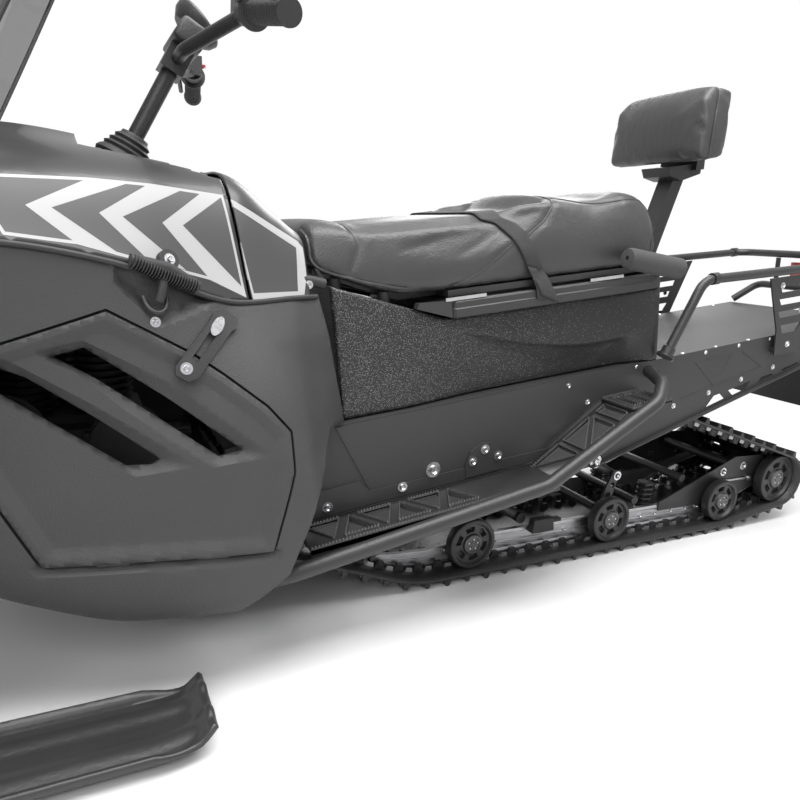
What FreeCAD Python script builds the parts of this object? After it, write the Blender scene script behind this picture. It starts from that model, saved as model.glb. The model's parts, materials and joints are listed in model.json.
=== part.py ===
import FreeCAD, Part
import math
import os

V = FreeCAD.Vector

# Utility snowmobile, millimetres. +X is forward, +Y is the rider's left, +Z is up, z = 0 is the snow.
# The tunnel, its boards, the box, the seat and the rack are square to a chassis frame that is raked
# nose-down by RAKE and meets the vehicle frame at x = 0, z = DECK_Z. In that frame x is along the
# deck and z is the height above it. The skis, the track and the body shells stand in the vehicle frame.

# ---- driving dimensions ----
RAKE = 7.5
DECK_Z = 417.0
DECK_REAR = -1373.0
DECK_FRONT = 400.0
TUNNEL_HALF = 210.0
SHEET = 3.0
SHELL = 4.0
JOINT_GAP = 6.0
EDGE_RUN = 30.0

TRACK_HALF = 195.5
LUG_PITCH = 50.5
LUG_HEIGHT = 14.5
BELT = 6.0
RIDE = LUG_HEIGHT + BELT
BOGIE_R = 58.6
REAR_IDLER_R = 70.2
CARRIER_R = 45.0
SPROCKET_R = 80.0
BOGIE_X = (-160.9, -571.9, -979.1)
REAR_IDLER = (-1200.5, 121.2)
CARRIER = (-546.0, 361.0)
SPROCKET = (300.0, 228.0)
NOSE_CURVE_R = 300.0
NOSE_CURVE = (-66.0, RIDE + NOSE_CURVE_R)
WHEEL_OUT = 175.0
RAIL_Y = 125.0
AXLE_BORE = 12.2

BOARD_LEVEL = -187.0
BOARD_IN = TUNNEL_HALF + 6
BOARD_OUT = 322.0
BOARD_THICK = 22.0
RAMP_SLOPE = 27.5

BOX_HALF_FRONT = 190.0
BOX_HALF_REAR = 213.0
RIM_LOW = 170.0
RIM_TOP = 203.0
SEAT_HINGE = (-617.0, 209.5)
CATCH_A = (-96.0, -450.0)

TUBE_R = 14.5
RACK_R = 11.0
SKI_Y = 440.0
SKI_X = 950.0
KINGPIN_TILT = 12.0
PIVOT_Z = 118.0
BEAM_Z = 330.0
FRAME_REAR = 318.0
STEER_X = 505.0
STEER_Z = 880.0
STEER_TILT = 28.0
BAR_UP = 150.0
HOOD_HINGE = (1148.0, 505.0)
HOOD_SPLIT = [(370, 400), (370, 620), (399, 835), (399, 1200)]
DOOR_HINGE = ((359.0, 388.0, 245.0), (681.0, 359.0, 259.0))
LAMP = [(1040, 60), (1130, 34), (1150, 60), (1120, 140), (1040, 158)]
LAMP_LOW, LAMP_HIGH = 646.0, 700.0


# ---- shape helpers ----
def block(low, high):
    size = [h - l for l, h in zip(low, high)]
    return Part.makeBox(size[0], size[1], size[2], V(*low))


def side_prism(points, y_low, y_high):
    """Polygon of (x, z) points carried from y_low to y_high."""
    wire = Part.makePolygon([V(x, y_low, z) for x, z in points + points[:1]])
    return Part.Face(wire).extrude(V(0, y_high - y_low, 0))


def plan_prism(points, z_low, z_high):
    """Polygon of (x, y) points carried from z_low to z_high."""
    wire = Part.makePolygon([V(x, y, z_low) for x, y in points + points[:1]])
    return Part.Face(wire).extrude(V(0, 0, z_high - z_low))


def rod(start, end, radius):
    start, end = V(*start), V(*end)
    return Part.makeCylinder(radius, (end - start).Length, start, end - start)


def pipe(start, end, radius, bore):
    return rod(start, end, radius).cut(rod(start, end, bore))


def bent_tube(points, radius, bend):
    """Round bar along straight runs that are joined by arcs of the given bend radius."""
    points = [V(*p) for p in points]
    edges = []
    last = points[0]
    for before, corner, after in zip(points, points[1:], points[2:]):
        u = (before - corner).normalize()
        v = (after - corner).normalize()
        half = u.getAngle(v) / 2
        setback = bend / math.tan(half)
        enter, leave = corner + u * setback, corner + v * setback
        middle = corner + (u + v).normalize() * (bend / math.sin(half) - bend)
        edges.append(Part.LineSegment(last, enter).toShape())
        edges.append(Part.Arc(enter, middle, leave).toShape())
        last = leave
    edges.append(Part.LineSegment(last, points[-1]).toShape())
    spine = Part.Wire(edges)
    circle = Part.Wire(Part.makeCircle(radius, points[0], points[1] - points[0]))
    return spine.makePipeShell([circle], True, True)


def join(shapes):
    whole = shapes[0]
    for shape in shapes[1:]:
        whole = whole.fuse(shape)
    return whole.removeSplitter()


def cut(shape, tools):
    for tool in tools:
        shape = shape.cut(tool)
    return shape


def mirrored(shape):
    """The same piece on the rider's right."""
    return shape.mirror(V(0, 0, 0), V(0, 1, 0))


def pair(shape):
    return Part.makeCompound(shape.Solids + mirrored(shape).Solids)


def on_chassis(shape):
    shape = shape.copy()
    shape.rotate(V(0, 0, 0), V(0, 1, 0), RAKE)
    shape.translate(V(0, 0, DECK_Z))
    return shape


# ---- tunnel, side plates and running boards ----
TUNNEL_SIDE = [
    (DECK_FRONT, 0), (DECK_FRONT, -200), (330, -226), (-416, -226),
    (-768, -166), (-1140, -102), (DECK_REAR, -62), (DECK_REAR, 0),
]
WINDOWS = [
    [(-785, -153), (-813, -126), (-835, -124), (-853, -141)],
    [(-864, -121), (-944, -110), (-927, -130), (-882, -138)],
    [(-971, -121), (-986, -107), (-1024, -103), (-1034, -109)],
    [(-1063, -99), (-1128, -89), (-1129, -93), (-1071, -105)],
]


def tunnel():
    """Folded sheet: flat deck, two sides that get lower to the rear and a lip along their lower edge."""
    shell = side_prism(TUNNEL_SIDE, -TUNNEL_HALF, TUNNEL_HALF)
    inside = block((-2000, -TUNNEL_HALF + SHEET, -400), (1000, TUNNEL_HALF - SHEET, -SHEET))
    shell = shell.cut(inside)
    lip = side_prism(
        [(-416, -226), (-768, -166), (-1140, -102), (DECK_REAR, -62),
         (DECK_REAR, -62 + SHEET), (-1140, -102 + SHEET), (-768, -166 + SHEET), (-416, -226 + SHEET)],
        TUNNEL_HALF - 1, TUNNEL_HALF + 12,
    )
    shell = join([shell, lip, mirrored(lip)])
    windows = [side_prism(outline, -TUNNEL_HALF - 20, TUNNEL_HALF + 20) for outline in WINDOWS]
    return on_chassis(cut(shell, windows))


def side_plates():
    """Thicker cover plates on the front half of the tunnel's sides, with a bent front edge."""
    outline = [(196, -2), (-335, -2), (-392, -87), (-300, -150), (137, -144)]
    plate = side_prism(outline, TUNNEL_HALF, TUNNEL_HALF + 2.5)
    foot = side_prism([(137, -144), (-300, -150), (-300, -172), (300, -172), (300, -120), (160, -120)],
                      TUNNEL_HALF, TUNNEL_HALF + 5)
    return on_chassis(pair(join([plate, foot])))


def running_board():
    """Pressed board with a row of open triangles, a closed toe plate and a slotted ramp up to the rear."""
    low, high = BOARD_LEVEL - BOARD_THICK / 2, BOARD_LEVEL + BOARD_THICK / 2
    plate = block((-240, BOARD_IN, low), (300, BOARD_OUT, high))
    near, far = BOARD_IN + 10, BOARD_OUT - 10
    step = 54.0
    holes = []
    for i in range(6):
        a = 290 - i * step
        base, tip = (near, far) if i % 2 == 0 else (far, near)
        corners = [(a, base), (a - 2 * step + 22, base), (a - step + 11, tip)]
        holes.append(plan_prism(corners, low - 5, high + 5))
    ramp = block((-250, BOARD_IN, -8), (10, BOARD_OUT - 6, 8))
    for i in range(4):
        a = -64 - i * 48
        ramp = ramp.cut(block((a - 34, BOARD_IN + 10, -20), (a, BOARD_OUT - 16, 20)))
    ramp.rotate(V(0, 0, 0), V(0, 1, 0), RAMP_SLOPE)
    ramp.translate(V(-226, 0, BOARD_LEVEL + 2))
    step = block((-552, BOARD_IN, -74), (-440, BOARD_OUT - 6, -62))
    return join([cut(plate, holes), ramp, step])


def running_boards():
    return on_chassis(pair(running_board()))


TUBE_ROUTE = [
    (420, 300, -214), (344, 339, -200), (-196, 339, -171),
    (-486, 339, -50), (-538, 300, -24), (-578, TUNNEL_HALF + 9, -21),
]


def side_tubes():
    """Outer guard tube of each running board, turned in to the deck's edge at its rear end."""
    tube = bent_tube(TUBE_ROUTE, TUBE_R, 56)
    return on_chassis(pair(tube))


# ---- storage box, rim and seat ----
def box_sections(shift, low):
    """Half-width, front and rear edges of the box at its foot and at its top, drawn in by shift."""
    front, rear = BOX_HALF_FRONT - shift, BOX_HALF_REAR - shift
    return [
        [(142 - shift, -front, low), (142 - shift, front, low), (-40, rear - 6, low),
         (-598 + shift, rear, low), (-598 + shift, -rear, low), (-40, -rear + 6, low)],
        [(172 - shift, -front + 12, 258), (172 - shift, front - 12, 258), (-60, rear - 12, 258),
         (-622 + shift, rear - 8, 258), (-622 + shift, -rear + 8, 258), (-60, -rear + 12, 258)],
    ]


def loft(sections):
    wires = [Part.makePolygon([V(*p) for p in section + section[:1]]) for section in sections]
    return Part.makeLoft(wires, True, True)


BOX_MOUTH = [(400, 254), (172, 254), (-58, RIM_LOW - 2), (-900, RIM_LOW - 2), (-900, 400), (400, 400)]
BOX_SHELF = [(400, 248), (172, 248), (20, 191), (20, 205), (172, 262), (400, 262)]


def storage_box():
    """Blow-moulded tub on the deck, high in front where the seat's nose rests, lower under the rim."""
    above = side_prism(BOX_MOUTH, -300, 300)
    outer = loft(box_sections(0, 1.0)).cut(above)
    inner = loft(box_sections(SHELL, 1.0 + SHELL))
    shelf = outer.common(side_prism(BOX_SHELF, -300, 300))
    return on_chassis(join([outer.cut(inner), shelf]))


def seat_rim():
    """Frame around the mouth of the box that the seat closes on."""
    outer = block((-622, -214, RIM_LOW - 1.5), (-66, 214, RIM_TOP))
    mouth = block((-602, -190, 0), (-90, 190, 400))
    return on_chassis(outer.cut(mouth))


def seat():
    """Plain foam body of the two-up seat: nose, hollowed rider part and a raised passenger part."""
    profile = [
        (200, 300), (199, 352), (192, 368), (175, 372), (147, 368), (111, 359), (79, 355), (-100, 356),
        (-214, 358), (-232, 371), (-256, 387), (-332, 388), (-384, 381), (-430, 372), (-458, 373),
        (-494, 380), (-536, 384), (-584, 380), (-602, 362), (-606, 330), (-612, 262), (-600, 222),
        (20, 222), (100, 246), (190, 284),
    ]
    half = 208.0
    body = side_prism(profile, -half, half)
    taper = [
        plan_prism([(260, 168), (130, 186), (20, 205), (-60, 209), (-60, 300), (260, 300)], 100, 500),
        plan_prism([(-560, 209), (-620, 190), (-640, 300), (-560, 300)], 100, 500),
    ]
    for tool in taper:
        body = cut(body, [tool, mirrored(tool)])
    corner = [(214, 300), (200, 356), (170, 384), (150, 392), (150, 500), (300, 500), (214, 300)]
    edge = Part.makePolygon([V(-700, y, w) for y, w in corner])
    edge = Part.Face(edge).extrude(V(1000, 0, 0))
    return on_chassis(cut(body, [edge, mirrored(edge)]))


def seat_pan():
    """Moulded base under the foam that carries the hinges and drops into the rim's mouth."""
    plate = block((-598, -198, 209), (-64, 198, 221.5))
    tongue = block((-594, -182, 196), (-98, 182, 209))
    tongue = tongue.cut(block((-588, -176, 190), (-104, 176, 209)))
    outline = [
        (-64, 209), (24, 209), (104, 240), (190, 276), (190, 283), (100, 245.5), (22, 221.5), (-64, 221.5),
    ]
    nose = side_prism(outline, -150, 150)
    leaves = [block((-611, y - 38, 211), (-590, y + 38, 214)) for y in (-110, 110)]
    return on_chassis(join([plate, tongue, nose] + leaves))


def seat_hardware():
    """Hinge barrels along the rear edge of the rim, and bright catch bars on its side edges, two a side."""
    a, w = SEAT_HINGE
    barrel = rod((a, 72, w), (a, 148, w), 4.5)
    bars = [block((a - 46, 209, RIM_TOP), (a + 46, 213.5, RIM_TOP + 6.5)) for a in CATCH_A]
    return on_chassis(pair(Part.makeCompound([barrel] + bars)))


# ---- body shells ----
# Half-sections of the whole body: x, then (y, z) of the floor's edge, the low chine, the high chine,
# the seam between lower body and hood, the shoulder, and the height of the centre line at the top.
BODY = [
    (172, (196, 300), (214, 372), (214, 404), (214, 632), (150, 700), 714),
    (250, (280, 200), (340, 330), (300, 430), (222, 634), (168, 724), 740),
    (300, (340, 150), (388, 300), (350, 450), (245, 632), (178, 756), 772),
    (385, (372, 146), (388, 300), (372, 470), (286, 628), (196, 806), 832),
    (560, (352, 150), (376, 300), (362, 490), (336, 684), (262, 802), 872),
    (700, (330, 192), (358, 310), (352, 500), (350, 707), (285, 794), 884),
    (850, (296, 262), (330, 350), (334, 510), (334, 710), (268, 784), 868),
    (1000, (236, 330), (276, 400), (284, 530), (282, 686), (224, 756), 816),
    (1120, (150, 404), (182, 450), (186, 545), (182, 634), (140, 694), 728),
    (1192, (50, 470), (68, 500), (72, 548), (70, 592), (48, 628), 642),
]


def ring(half):
    """Closed loop of (y, z) points from one side's points and their mirror images."""
    return half + [(-y, z) for y, z in reversed(half) if y != 0]


def inset(point, centre, wall):
    """The point drawn towards the centre of its section by the wall's thickness."""
    y, z = point
    dy, dz = centre[0] - y, centre[1] - z
    length = math.hypot(dy, dz)
    return (y + dy / length * wall * 1.25, z + dz / length * wall * 1.25)


def run_past(edge, neighbour, wall, distance):
    """The open edge's point, moved in by the wall and on past the edge along the panel's own slope."""
    dy, dz = edge[0] - neighbour[0], edge[1] - neighbour[1]
    share = distance / math.hypot(dy, dz)
    return (edge[0] - wall * 1.25 + dy * share, edge[1] + dz * share)


def body_loft(picks, wall):
    """Loft through every section's chosen points; with a wall it is the hollow, which runs past the seam."""
    beside = "high" if "high" in picks else "shoulder"
    wires = []
    for x, floor, low, high, seam, shoulder, crest in BODY:
        points = {"keel": (0, floor[1]), "floor": floor, "low": low, "high": high,
                  "seam": seam, "seam_mid": (0, seam[1]), "shoulder": shoulder, "crest": (0, crest)}
        open_edge = run_past(seam, points[beside], wall, EDGE_RUN)
        half = []
        for name in picks:
            y, z = points[name]
            if wall and name == "seam":
                y, z = open_edge
            elif wall and name == "seam_mid":
                z = open_edge[1]
            elif wall:
                y, z = inset((y, z), (0, seam[1]), wall)
            half.append((y, z))
        shift = 0.0
        if wall and x == BODY[-1][0]:
            shift = -wall
        if wall and x == BODY[0][0]:
            shift = wall
        wires.append(Part.makePolygon([V(x + shift, y, z) for y, z in ring(half) + ring(half)[:1]]))
    return Part.makeLoft(wires, True, True)


LOWER_LINES = ["keel", "floor", "low", "high", "seam", "seam_mid"]
UPPER_LINES = ["seam_mid", "seam", "shoulder", "crest"]


def lower_hull():
    return body_loft(LOWER_LINES, 0).cut(body_loft(LOWER_LINES, SHELL))


def upper_hull():
    return body_loft(UPPER_LINES, 0).cut(body_loft(UPPER_LINES, SHELL))


DOOR = [
    (681, 262), (359, 248), (326, 374), (329, 436), (365, 477), (426, 525), (474, 559), (583, 619),
    (710, 575), (785, 548), (795, 500), (727, 355),
]
VENT_UPPER = [(651, 557), (612, 568), (505, 493), (402, 412), (438, 405), (600, 526)]
VENT_LOWER = [
    (722, 545), (685, 529), (597, 466), (521, 406), (532, 399), (566, 399), (722, 512), (738, 530),
]
REAR_SWEEP = [
    (0, 0), (430, 0), (430, 138), (414, 146), (330, 200), (283, 324), (229, 408), (177, 400),
    (212, 537), (237, 632), (237, 700), (0, 700),
]


def grown(points, gap):
    """The polygon with every side moved outwards by the gap."""
    wire = Part.makePolygon([V(x, 0, z) for x, z in points + points[:1]])
    wider = wire.makeOffset2D(gap, 2)
    return [(v.X, v.Z) for v in wider.OrderedVertexes]


def lower_body():
    """Matte lower moulding, swept forwards at the rear for the rider's knees, with an opening each side."""
    hull = lower_hull()
    behind = side_prism(REAR_SWEEP, -600, 600)
    tunnel_slot = block((0, -TUNNEL_HALF - 3, 0), (440, TUNNEL_HALF + 3, 430))
    openings = side_prism(grown(DOOR, JOINT_GAP), 250, 500)
    beam = rod((SKI_X, -600, BEAM_Z), (SKI_X, 600, BEAM_Z), 34)
    tools = [behind, tunnel_slot, openings, mirrored(openings), beam]
    return cut(hull, tools)


def door_left():
    panel = lower_hull().common(side_prism(DOOR, 250, 500))
    vents = [side_prism(points, 200, 500) for points in (VENT_UPPER, VENT_LOWER)]
    return cut(panel, vents)


def console():
    """Fixed cover over the tank, between the hood's rear edge and the seat."""
    behind = [(x - JOINT_GAP, z) for x, z in HOOD_SPLIT]
    hull = upper_hull().common(side_prism(behind + [(252, 1200), (252, 400)], -500, 500))
    return hull.cut(rod((STEER_X, 0, STEER_Z), steer_point(-500), 40))


def hood():
    hull = upper_hull().common(side_prism(HOOD_SPLIT + [(1300, 1200), (1300, 400)], -500, 500))
    cockpit = plan_prism([(380, -190), (600, -150), (600, 150), (380, 190)], 815, 1000)
    lens = plan_prism(LAMP, LAMP_LOW, LAMP_HIGH)
    return cut(hull, [cockpit, lens, mirrored(lens)])


def steer_point(distance):
    """Point on the steering axis, at a distance above its crossing with the cockpit."""
    t = math.radians(STEER_TILT)
    return (STEER_X - distance * math.sin(t), 0, STEER_Z + distance * math.cos(t))


def windshield():
    """Curved plastic screen that stands on the hood and leans back over the cockpit."""
    foot = [(742, -244), (800, -196), (846, -112), (860, 0), (846, 112), (800, 196), (742, 244)]
    levels = [(0, 0, 0), (-92, -20, 190), (-190, -52, 398)]
    sections = []
    for back, narrow, up in levels:
        scale = 1 + narrow / foot[-1][1]
        outer = [(x + back, y * scale, 872 + up) for x, y in foot]
        inner = [(x - SHELL, y, z) for x, y, z in reversed(outer)]
        sections.append(outer + inner)
    return loft(sections).cut(body_loft(UPPER_LINES, 0))


def headlamps():
    """Two lamp lenses set in the hood's brow, either side of the nose."""
    return pair(upper_hull().common(plan_prism(LAMP, LAMP_LOW, LAMP_HIGH)))


# ---- engine and front frame ----
def engine_block():
    return block((470, -150, 262), (820, 170, 560))


def front_frame():
    """Welded frame ahead of the tunnel: two rails, an arch over the engine and the beam for the struts."""
    beam = pipe((SKI_X, -SKI_Y + 40, BEAM_Z), (SKI_X, SKI_Y - 40, BEAM_Z), 27, 22)
    parts = [beam]
    for y in (-232, 232):
        route = [(FRAME_REAR, y, 262), (700, y, 266), (SKI_X - 12, y, BEAM_Z - 8)]
        parts.append(bent_tube(route, 16, 60))
    return join(parts)


# ---- skis, struts and steering ----
def kingpin(distance, side=1):
    """Point on a ski's steering axis, at a distance above the ski's pivot height."""
    t = math.radians(KINGPIN_TILT)
    return (SKI_X - distance * math.sin(t), side * SKI_Y, PIVOT_Z + distance * math.cos(t))


def strut_housing():
    """Telescopic strut tube clamped to the end of the beam, with a collar above and below it."""
    tube = pipe(kingpin(110), kingpin(420), 27, 19)
    clamp = block((SKI_X - 70, SKI_Y - 46, BEAM_Z - 34), (SKI_X + 6, SKI_Y + 4, BEAM_Z + 34))
    collars = [pipe(kingpin(h), kingpin(h + 24), 32, 19) for h in (112, 330)]
    bore = rod(kingpin(50), kingpin(500), 19)
    return join([tube, clamp] + collars).cut(bore)


def strut_housings():
    beam = rod((SKI_X, -SKI_Y + 40, BEAM_Z), (SKI_X, SKI_Y - 40, BEAM_Z), 27)
    return pair(strut_housing().cut(beam))


def spindle():
    """Leg that turns and slides in the strut, with its fork over the ski and a steering arm on top."""
    leg = rod(kingpin(20), kingpin(440), 18.5)
    arm = plan_prism([(SKI_X - 150, SKI_Y - 14), (SKI_X - 70, SKI_Y - 24), (SKI_X - 70, SKI_Y + 24),
                      (SKI_X - 150, SKI_Y + 14)], PIVOT_Z + 418, PIVOT_Z + 428)
    fork = block((SKI_X - 38, SKI_Y - 30, PIVOT_Z - 34), (SKI_X + 38, SKI_Y + 30, PIVOT_Z + 26))
    fork = fork.cut(block((SKI_X - 60, SKI_Y - 20, PIVOT_Z - 60), (SKI_X + 60, SKI_Y + 20, PIVOT_Z + 16)))
    boot = rod(kingpin(26), kingpin(100), 25)
    return join([leg, arm, fork, boot])


SKI_LINE = [
    (470, 46), (500, 16), (560, 10), (1190, 10), (1300, 44), (1390, 108), (1442, 180), (1450, 204),
    (1440, 208), (1428, 184), (1378, 120), (1292, 58), (1186, 24), (562, 24), (506, 30), (480, 54),
]


def ski():
    """Moulded ski with a raised tip, a deep keel, side lips and a saddle for the spindle."""
    plate = side_prism(SKI_LINE, SKI_Y - 80, SKI_Y + 80)
    for side in (-1, 1):
        corners = [(1180, 80), (1460, 46), (1460, 200), (1180, 200)]
        plate = plate.cut(plan_prism([(x, SKI_Y + side * y) for x, y in corners], -50, 300))
    keel = side_prism([(600, 12), (640, 0), (1120, 0), (1170, 12)], SKI_Y - 11, SKI_Y + 11)
    lip = [(520, 20), (1180, 20), (1180, 34), (520, 34)]
    lips = [side_prism(lip, y, y + 9) for y in (SKI_Y - 80, SKI_Y + 71)]
    saddle = side_prism([(SKI_X - 110, 22), (SKI_X + 110, 22), (SKI_X + 26, 132), (SKI_X - 26, 132)],
                        SKI_Y - 19.5, SKI_Y + 19.5)
    saddle = saddle.cut(block((SKI_X - 200, SKI_Y - 12, 24), (SKI_X + 200, SKI_Y + 12, 96)))
    saddle = saddle.cut(rod((SKI_X - 45, SKI_Y, 118), (SKI_X + 45, SKI_Y, 118), 2))
    return join([plate, keel, saddle] + lips)


def ski_loop():
    """Bent carrying loop at the tip of the ski."""
    half = [(1330, 52, 80), (1380, 50, 196), (1432, 30, 226)]
    route = [(x, SKI_Y - y, z) for x, y, z in half] + [(x, SKI_Y + y, z) for x, y, z in reversed(half)]
    return bent_tube(route, 7, 18).cut(ski())


def steer_frame(shape):
    """Places a shape drawn around the z axis onto the steering axis."""
    shape = shape.copy()
    shape.rotate(V(0, 0, 0), V(0, 1, 0), -STEER_TILT)
    shape.translate(V(STEER_X, 0, STEER_Z))
    return shape


def handlebar():
    """Steering stem with a wide swept-back bar clamped on top."""
    stem = rod((0, 0, -120), (0, 0, BAR_UP), 14)
    clamp = block((-20, -34, BAR_UP - 22), (20, 34, BAR_UP + 20))
    route = [(-78, -372, BAR_UP + 52), (-46, -236, BAR_UP + 66), (0, -96, BAR_UP + 2), (0, 96, BAR_UP + 2),
             (-46, 236, BAR_UP + 66), (-78, 372, BAR_UP + 52)]
    bar = bent_tube(route, 11, 45)
    return steer_frame(join([stem, clamp, bar]))


def bar_grips():
    """Rubber grips on the bar's ends, closed outside."""
    grip = rod((-51, 258, BAR_UP + 63.6), (-78.5, 374, BAR_UP + 52), 17)
    bar = rod((-46, 236, BAR_UP + 66), (-78, 372, BAR_UP + 52), 11)
    return steer_frame(pair(grip.cut(bar)))


def bar_pad():
    """Padded block over the clamp, with the key switch's dash plate."""
    pad = block((-26, -70, BAR_UP + 20.5), (26, 70, BAR_UP + 62))
    return steer_frame(pad)


# ---- track and skid ----
def loop_wire(circles, offset):
    """Closed belt line around circles of (x, z, radius), each widened by offset, turning the same way."""
    edges = []
    count = len(circles)
    tangents = []
    for i in range(count):
        x0, z0, r0 = circles[i]
        x1, z1, r1 = circles[(i + 1) % count]
        r0, r1 = r0 + offset, r1 + offset
        dx, dz = x1 - x0, z1 - z0
        d = math.hypot(dx, dz)
        ux, uz = dx / d, dz / d
        c = (r0 - r1) / d
        s = math.sqrt(1 - c * c)
        nx, nz = ux * c + uz * s, uz * c - ux * s
        tangents.append(((x0 + nx * r0, z0 + nz * r0), (x1 + nx * r1, z1 + nz * r1), (nx, nz)))
    for i in range(count):
        (ax, az), (bx, bz), n0 = tangents[i]
        edges.append(Part.LineSegment(V(ax, 0, az), V(bx, 0, bz)).toShape())
        (cx, cz), _, n1 = tangents[(i + 1) % count]
        x, z, r = circles[(i + 1) % count]
        mx, mz = n0[0] + n1[0], n0[1] + n1[1]
        m = math.hypot(mx, mz)
        r = r + offset
        edges.append(Part.Arc(V(bx, 0, bz), V(x + mx / m * r, 0, z + mz / m * r), V(cx, 0, cz)).toShape())
    return Part.Wire(edges)


TRACK_CIRCLES = [
    (REAR_IDLER[0], REAR_IDLER[1], REAR_IDLER_R),
    (BOGIE_X[2], RIDE + BOGIE_R, BOGIE_R),
    (NOSE_CURVE[0], NOSE_CURVE[1], NOSE_CURVE_R),
    (SPROCKET[0], SPROCKET[1], SPROCKET_R),
    (CARRIER[0], CARRIER[1], CARRIER_R),
]


def track():
    """Rubber belt in one fixed loop, with a cross bar of lugs at every pitch in its outline."""
    inner = loop_wire(TRACK_CIRCLES, 0)
    outer = loop_wire(TRACK_CIRCLES, BELT)
    belt = Part.Face(outer).cut(Part.Face(inner)).extrude(V(0, 2 * TRACK_HALF, 0))
    belt.translate(V(0, -TRACK_HALF, 0))
    count = round(outer.Length / LUG_PITCH)
    stations = outer.discretize(Number=count + 1)[:-1]
    lugs = []
    for i, point in enumerate(stations):
        tangent = (stations[(i + 1) % count] - stations[i - 1]).normalize()
        normal = V(-tangent.z, 0, tangent.x)
        if (point - V(-400, 0, 180)).dot(normal) < 0:
            normal = normal * -1
        foot = point - normal * 1.0
        half = tangent * 6.0
        top = normal * (LUG_HEIGHT + 1.0)
        corners = [foot - half, foot + half, foot + half * 0.8 + top, foot - half * 0.8 + top]
        face = Part.Face(Part.makePolygon(corners + corners[:1]))
        lug = face.extrude(V(0, 2 * TRACK_HALF, 0))
        lug.translate(V(0, -TRACK_HALF, 0))
        lugs.append(lug)
    return belt.multiFuse(lugs).removeSplitter()


def slide_rails():
    """Aluminium slide rails with a turned-up nose, riding on the belt inside the wheels."""
    low = RIDE + 0.5
    outline = [
        (-1226, 104), (-1130, 84), (-1060, 62), (-960, low), (-66, low), (0, low + 9),
        (40, low + 21), (70, low + 34), (56, low + 50), (20, low + 44), (-60, low + 40),
        (-240, low + 58), (-1000, low + 58),
        (-1226, 138),
    ]
    rail = side_prism(outline, RAIL_Y - 6, RAIL_Y + 6)
    x, z = REAR_IDLER
    return pair(rail.cut(rod((x, 0, z), (x, 300, z), AXLE_BORE)))


def wheel_brackets():
    """Plates on the rails with the stub shafts of the road wheels."""
    solids = []
    for x, foot in zip(BOGIE_X, (RAIL_Y + 6, RAIL_Y + 6, RAIL_Y + 10)):
        z = RIDE + BOGIE_R + 0.3
        outline = [(x - 34, z - 34), (x + 34, z - 34), (x + 15, z + 16), (x - 15, z + 16)]
        plate = side_prism(outline, foot, foot + 5)
        solids.append(join([plate, rod((x, foot, z), (x, WHEEL_OUT - 26, z), 9)]))
    return pair(Part.makeCompound(solids))


def wheel(x, z, radius, width, y):
    """Road wheel with a rubber rim, a dished web and a hub cap, its outer face at y."""
    disc = rod((x, y - width, z), (x, y, z), radius)
    dish = pipe((x, y - 7, z), (x, y + 1, z), radius - 11, radius * 0.36)
    return disc.cut(dish)


def bogie_wheels():
    wheels = [wheel(x, RIDE + BOGIE_R + 0.3, BOGIE_R, 26, WHEEL_OUT) for x in BOGIE_X]
    wheels.append(wheel(CARRIER[0], CARRIER[1], CARRIER_R - 0.5, 26, WHEEL_OUT))
    return Part.makeCompound(wheels + [mirrored(w) for w in wheels])


def rear_idlers():
    w = wheel(REAR_IDLER[0], REAR_IDLER[1], REAR_IDLER_R - 0.5, 30, WHEEL_OUT)
    return pair(w)


def skid_axles():
    """Cross shafts of the rear idlers and the upper carrier wheels, and spacer tubes between the rails."""
    reach = WHEEL_OUT - 26
    x, z = CARRIER
    carrier = rod((x, -reach, z), (x, reach, z), 9)
    x, z = REAR_IDLER
    idler = rod((x, 4 - reach, z), (x, reach - 4, z), 12)
    places = [(-560, 96), (-700, 96), (-868, 140), (-1054, 165)]
    spacers = [rod((x, 6 - RAIL_Y, z), (x, RAIL_Y - 6, z), 11) for x, z in places]
    return Part.makeCompound([carrier, idler] + spacers)


def drive_axle():
    """Shaft with two toothed drive wheels at the front of the tunnel."""
    x, z = SPROCKET
    shaft = rod((x, -TUNNEL_HALF + SHEET + 1, z), (x, TUNNEL_HALF - SHEET - 1, z), 14)
    discs = [rod((x, y - 14, z), (x, y + 14, z), SPROCKET_R - 1) for y in (-90, 90)]
    return join([shaft] + discs)


def front_arm():
    """Swing arm from the tunnel down to the front of the rails."""
    legs = [bent_tube([(-20, y, 286), (-150, y, 200), (-330, y, 96)], 11, 60) for y in (-100, 100)]
    cross = [rod((-20, -TUNNEL_HALF + 4, 286), (-20, TUNNEL_HALF - 4, 286), 13),
             rod((-330, -118.5, 96), (-330, 118.5, 96), 13)]
    return join(legs + cross)


def rear_arm():
    """Rear swing arm from its pivot low on the tunnel's sides back to the cross tube between the levers."""
    legs = [rod((-453, y, 261), (-614, y, 179), 11) for y in (-104, 104)]
    cross = [rod((-453, -TUNNEL_HALF + 4, 261), (-453, TUNNEL_HALF - 4, 261), 13),
             rod((-614, -RAIL_Y - 5, 179), (-614, RAIL_Y + 5, 179), 11)]
    return join(legs + cross)


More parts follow.
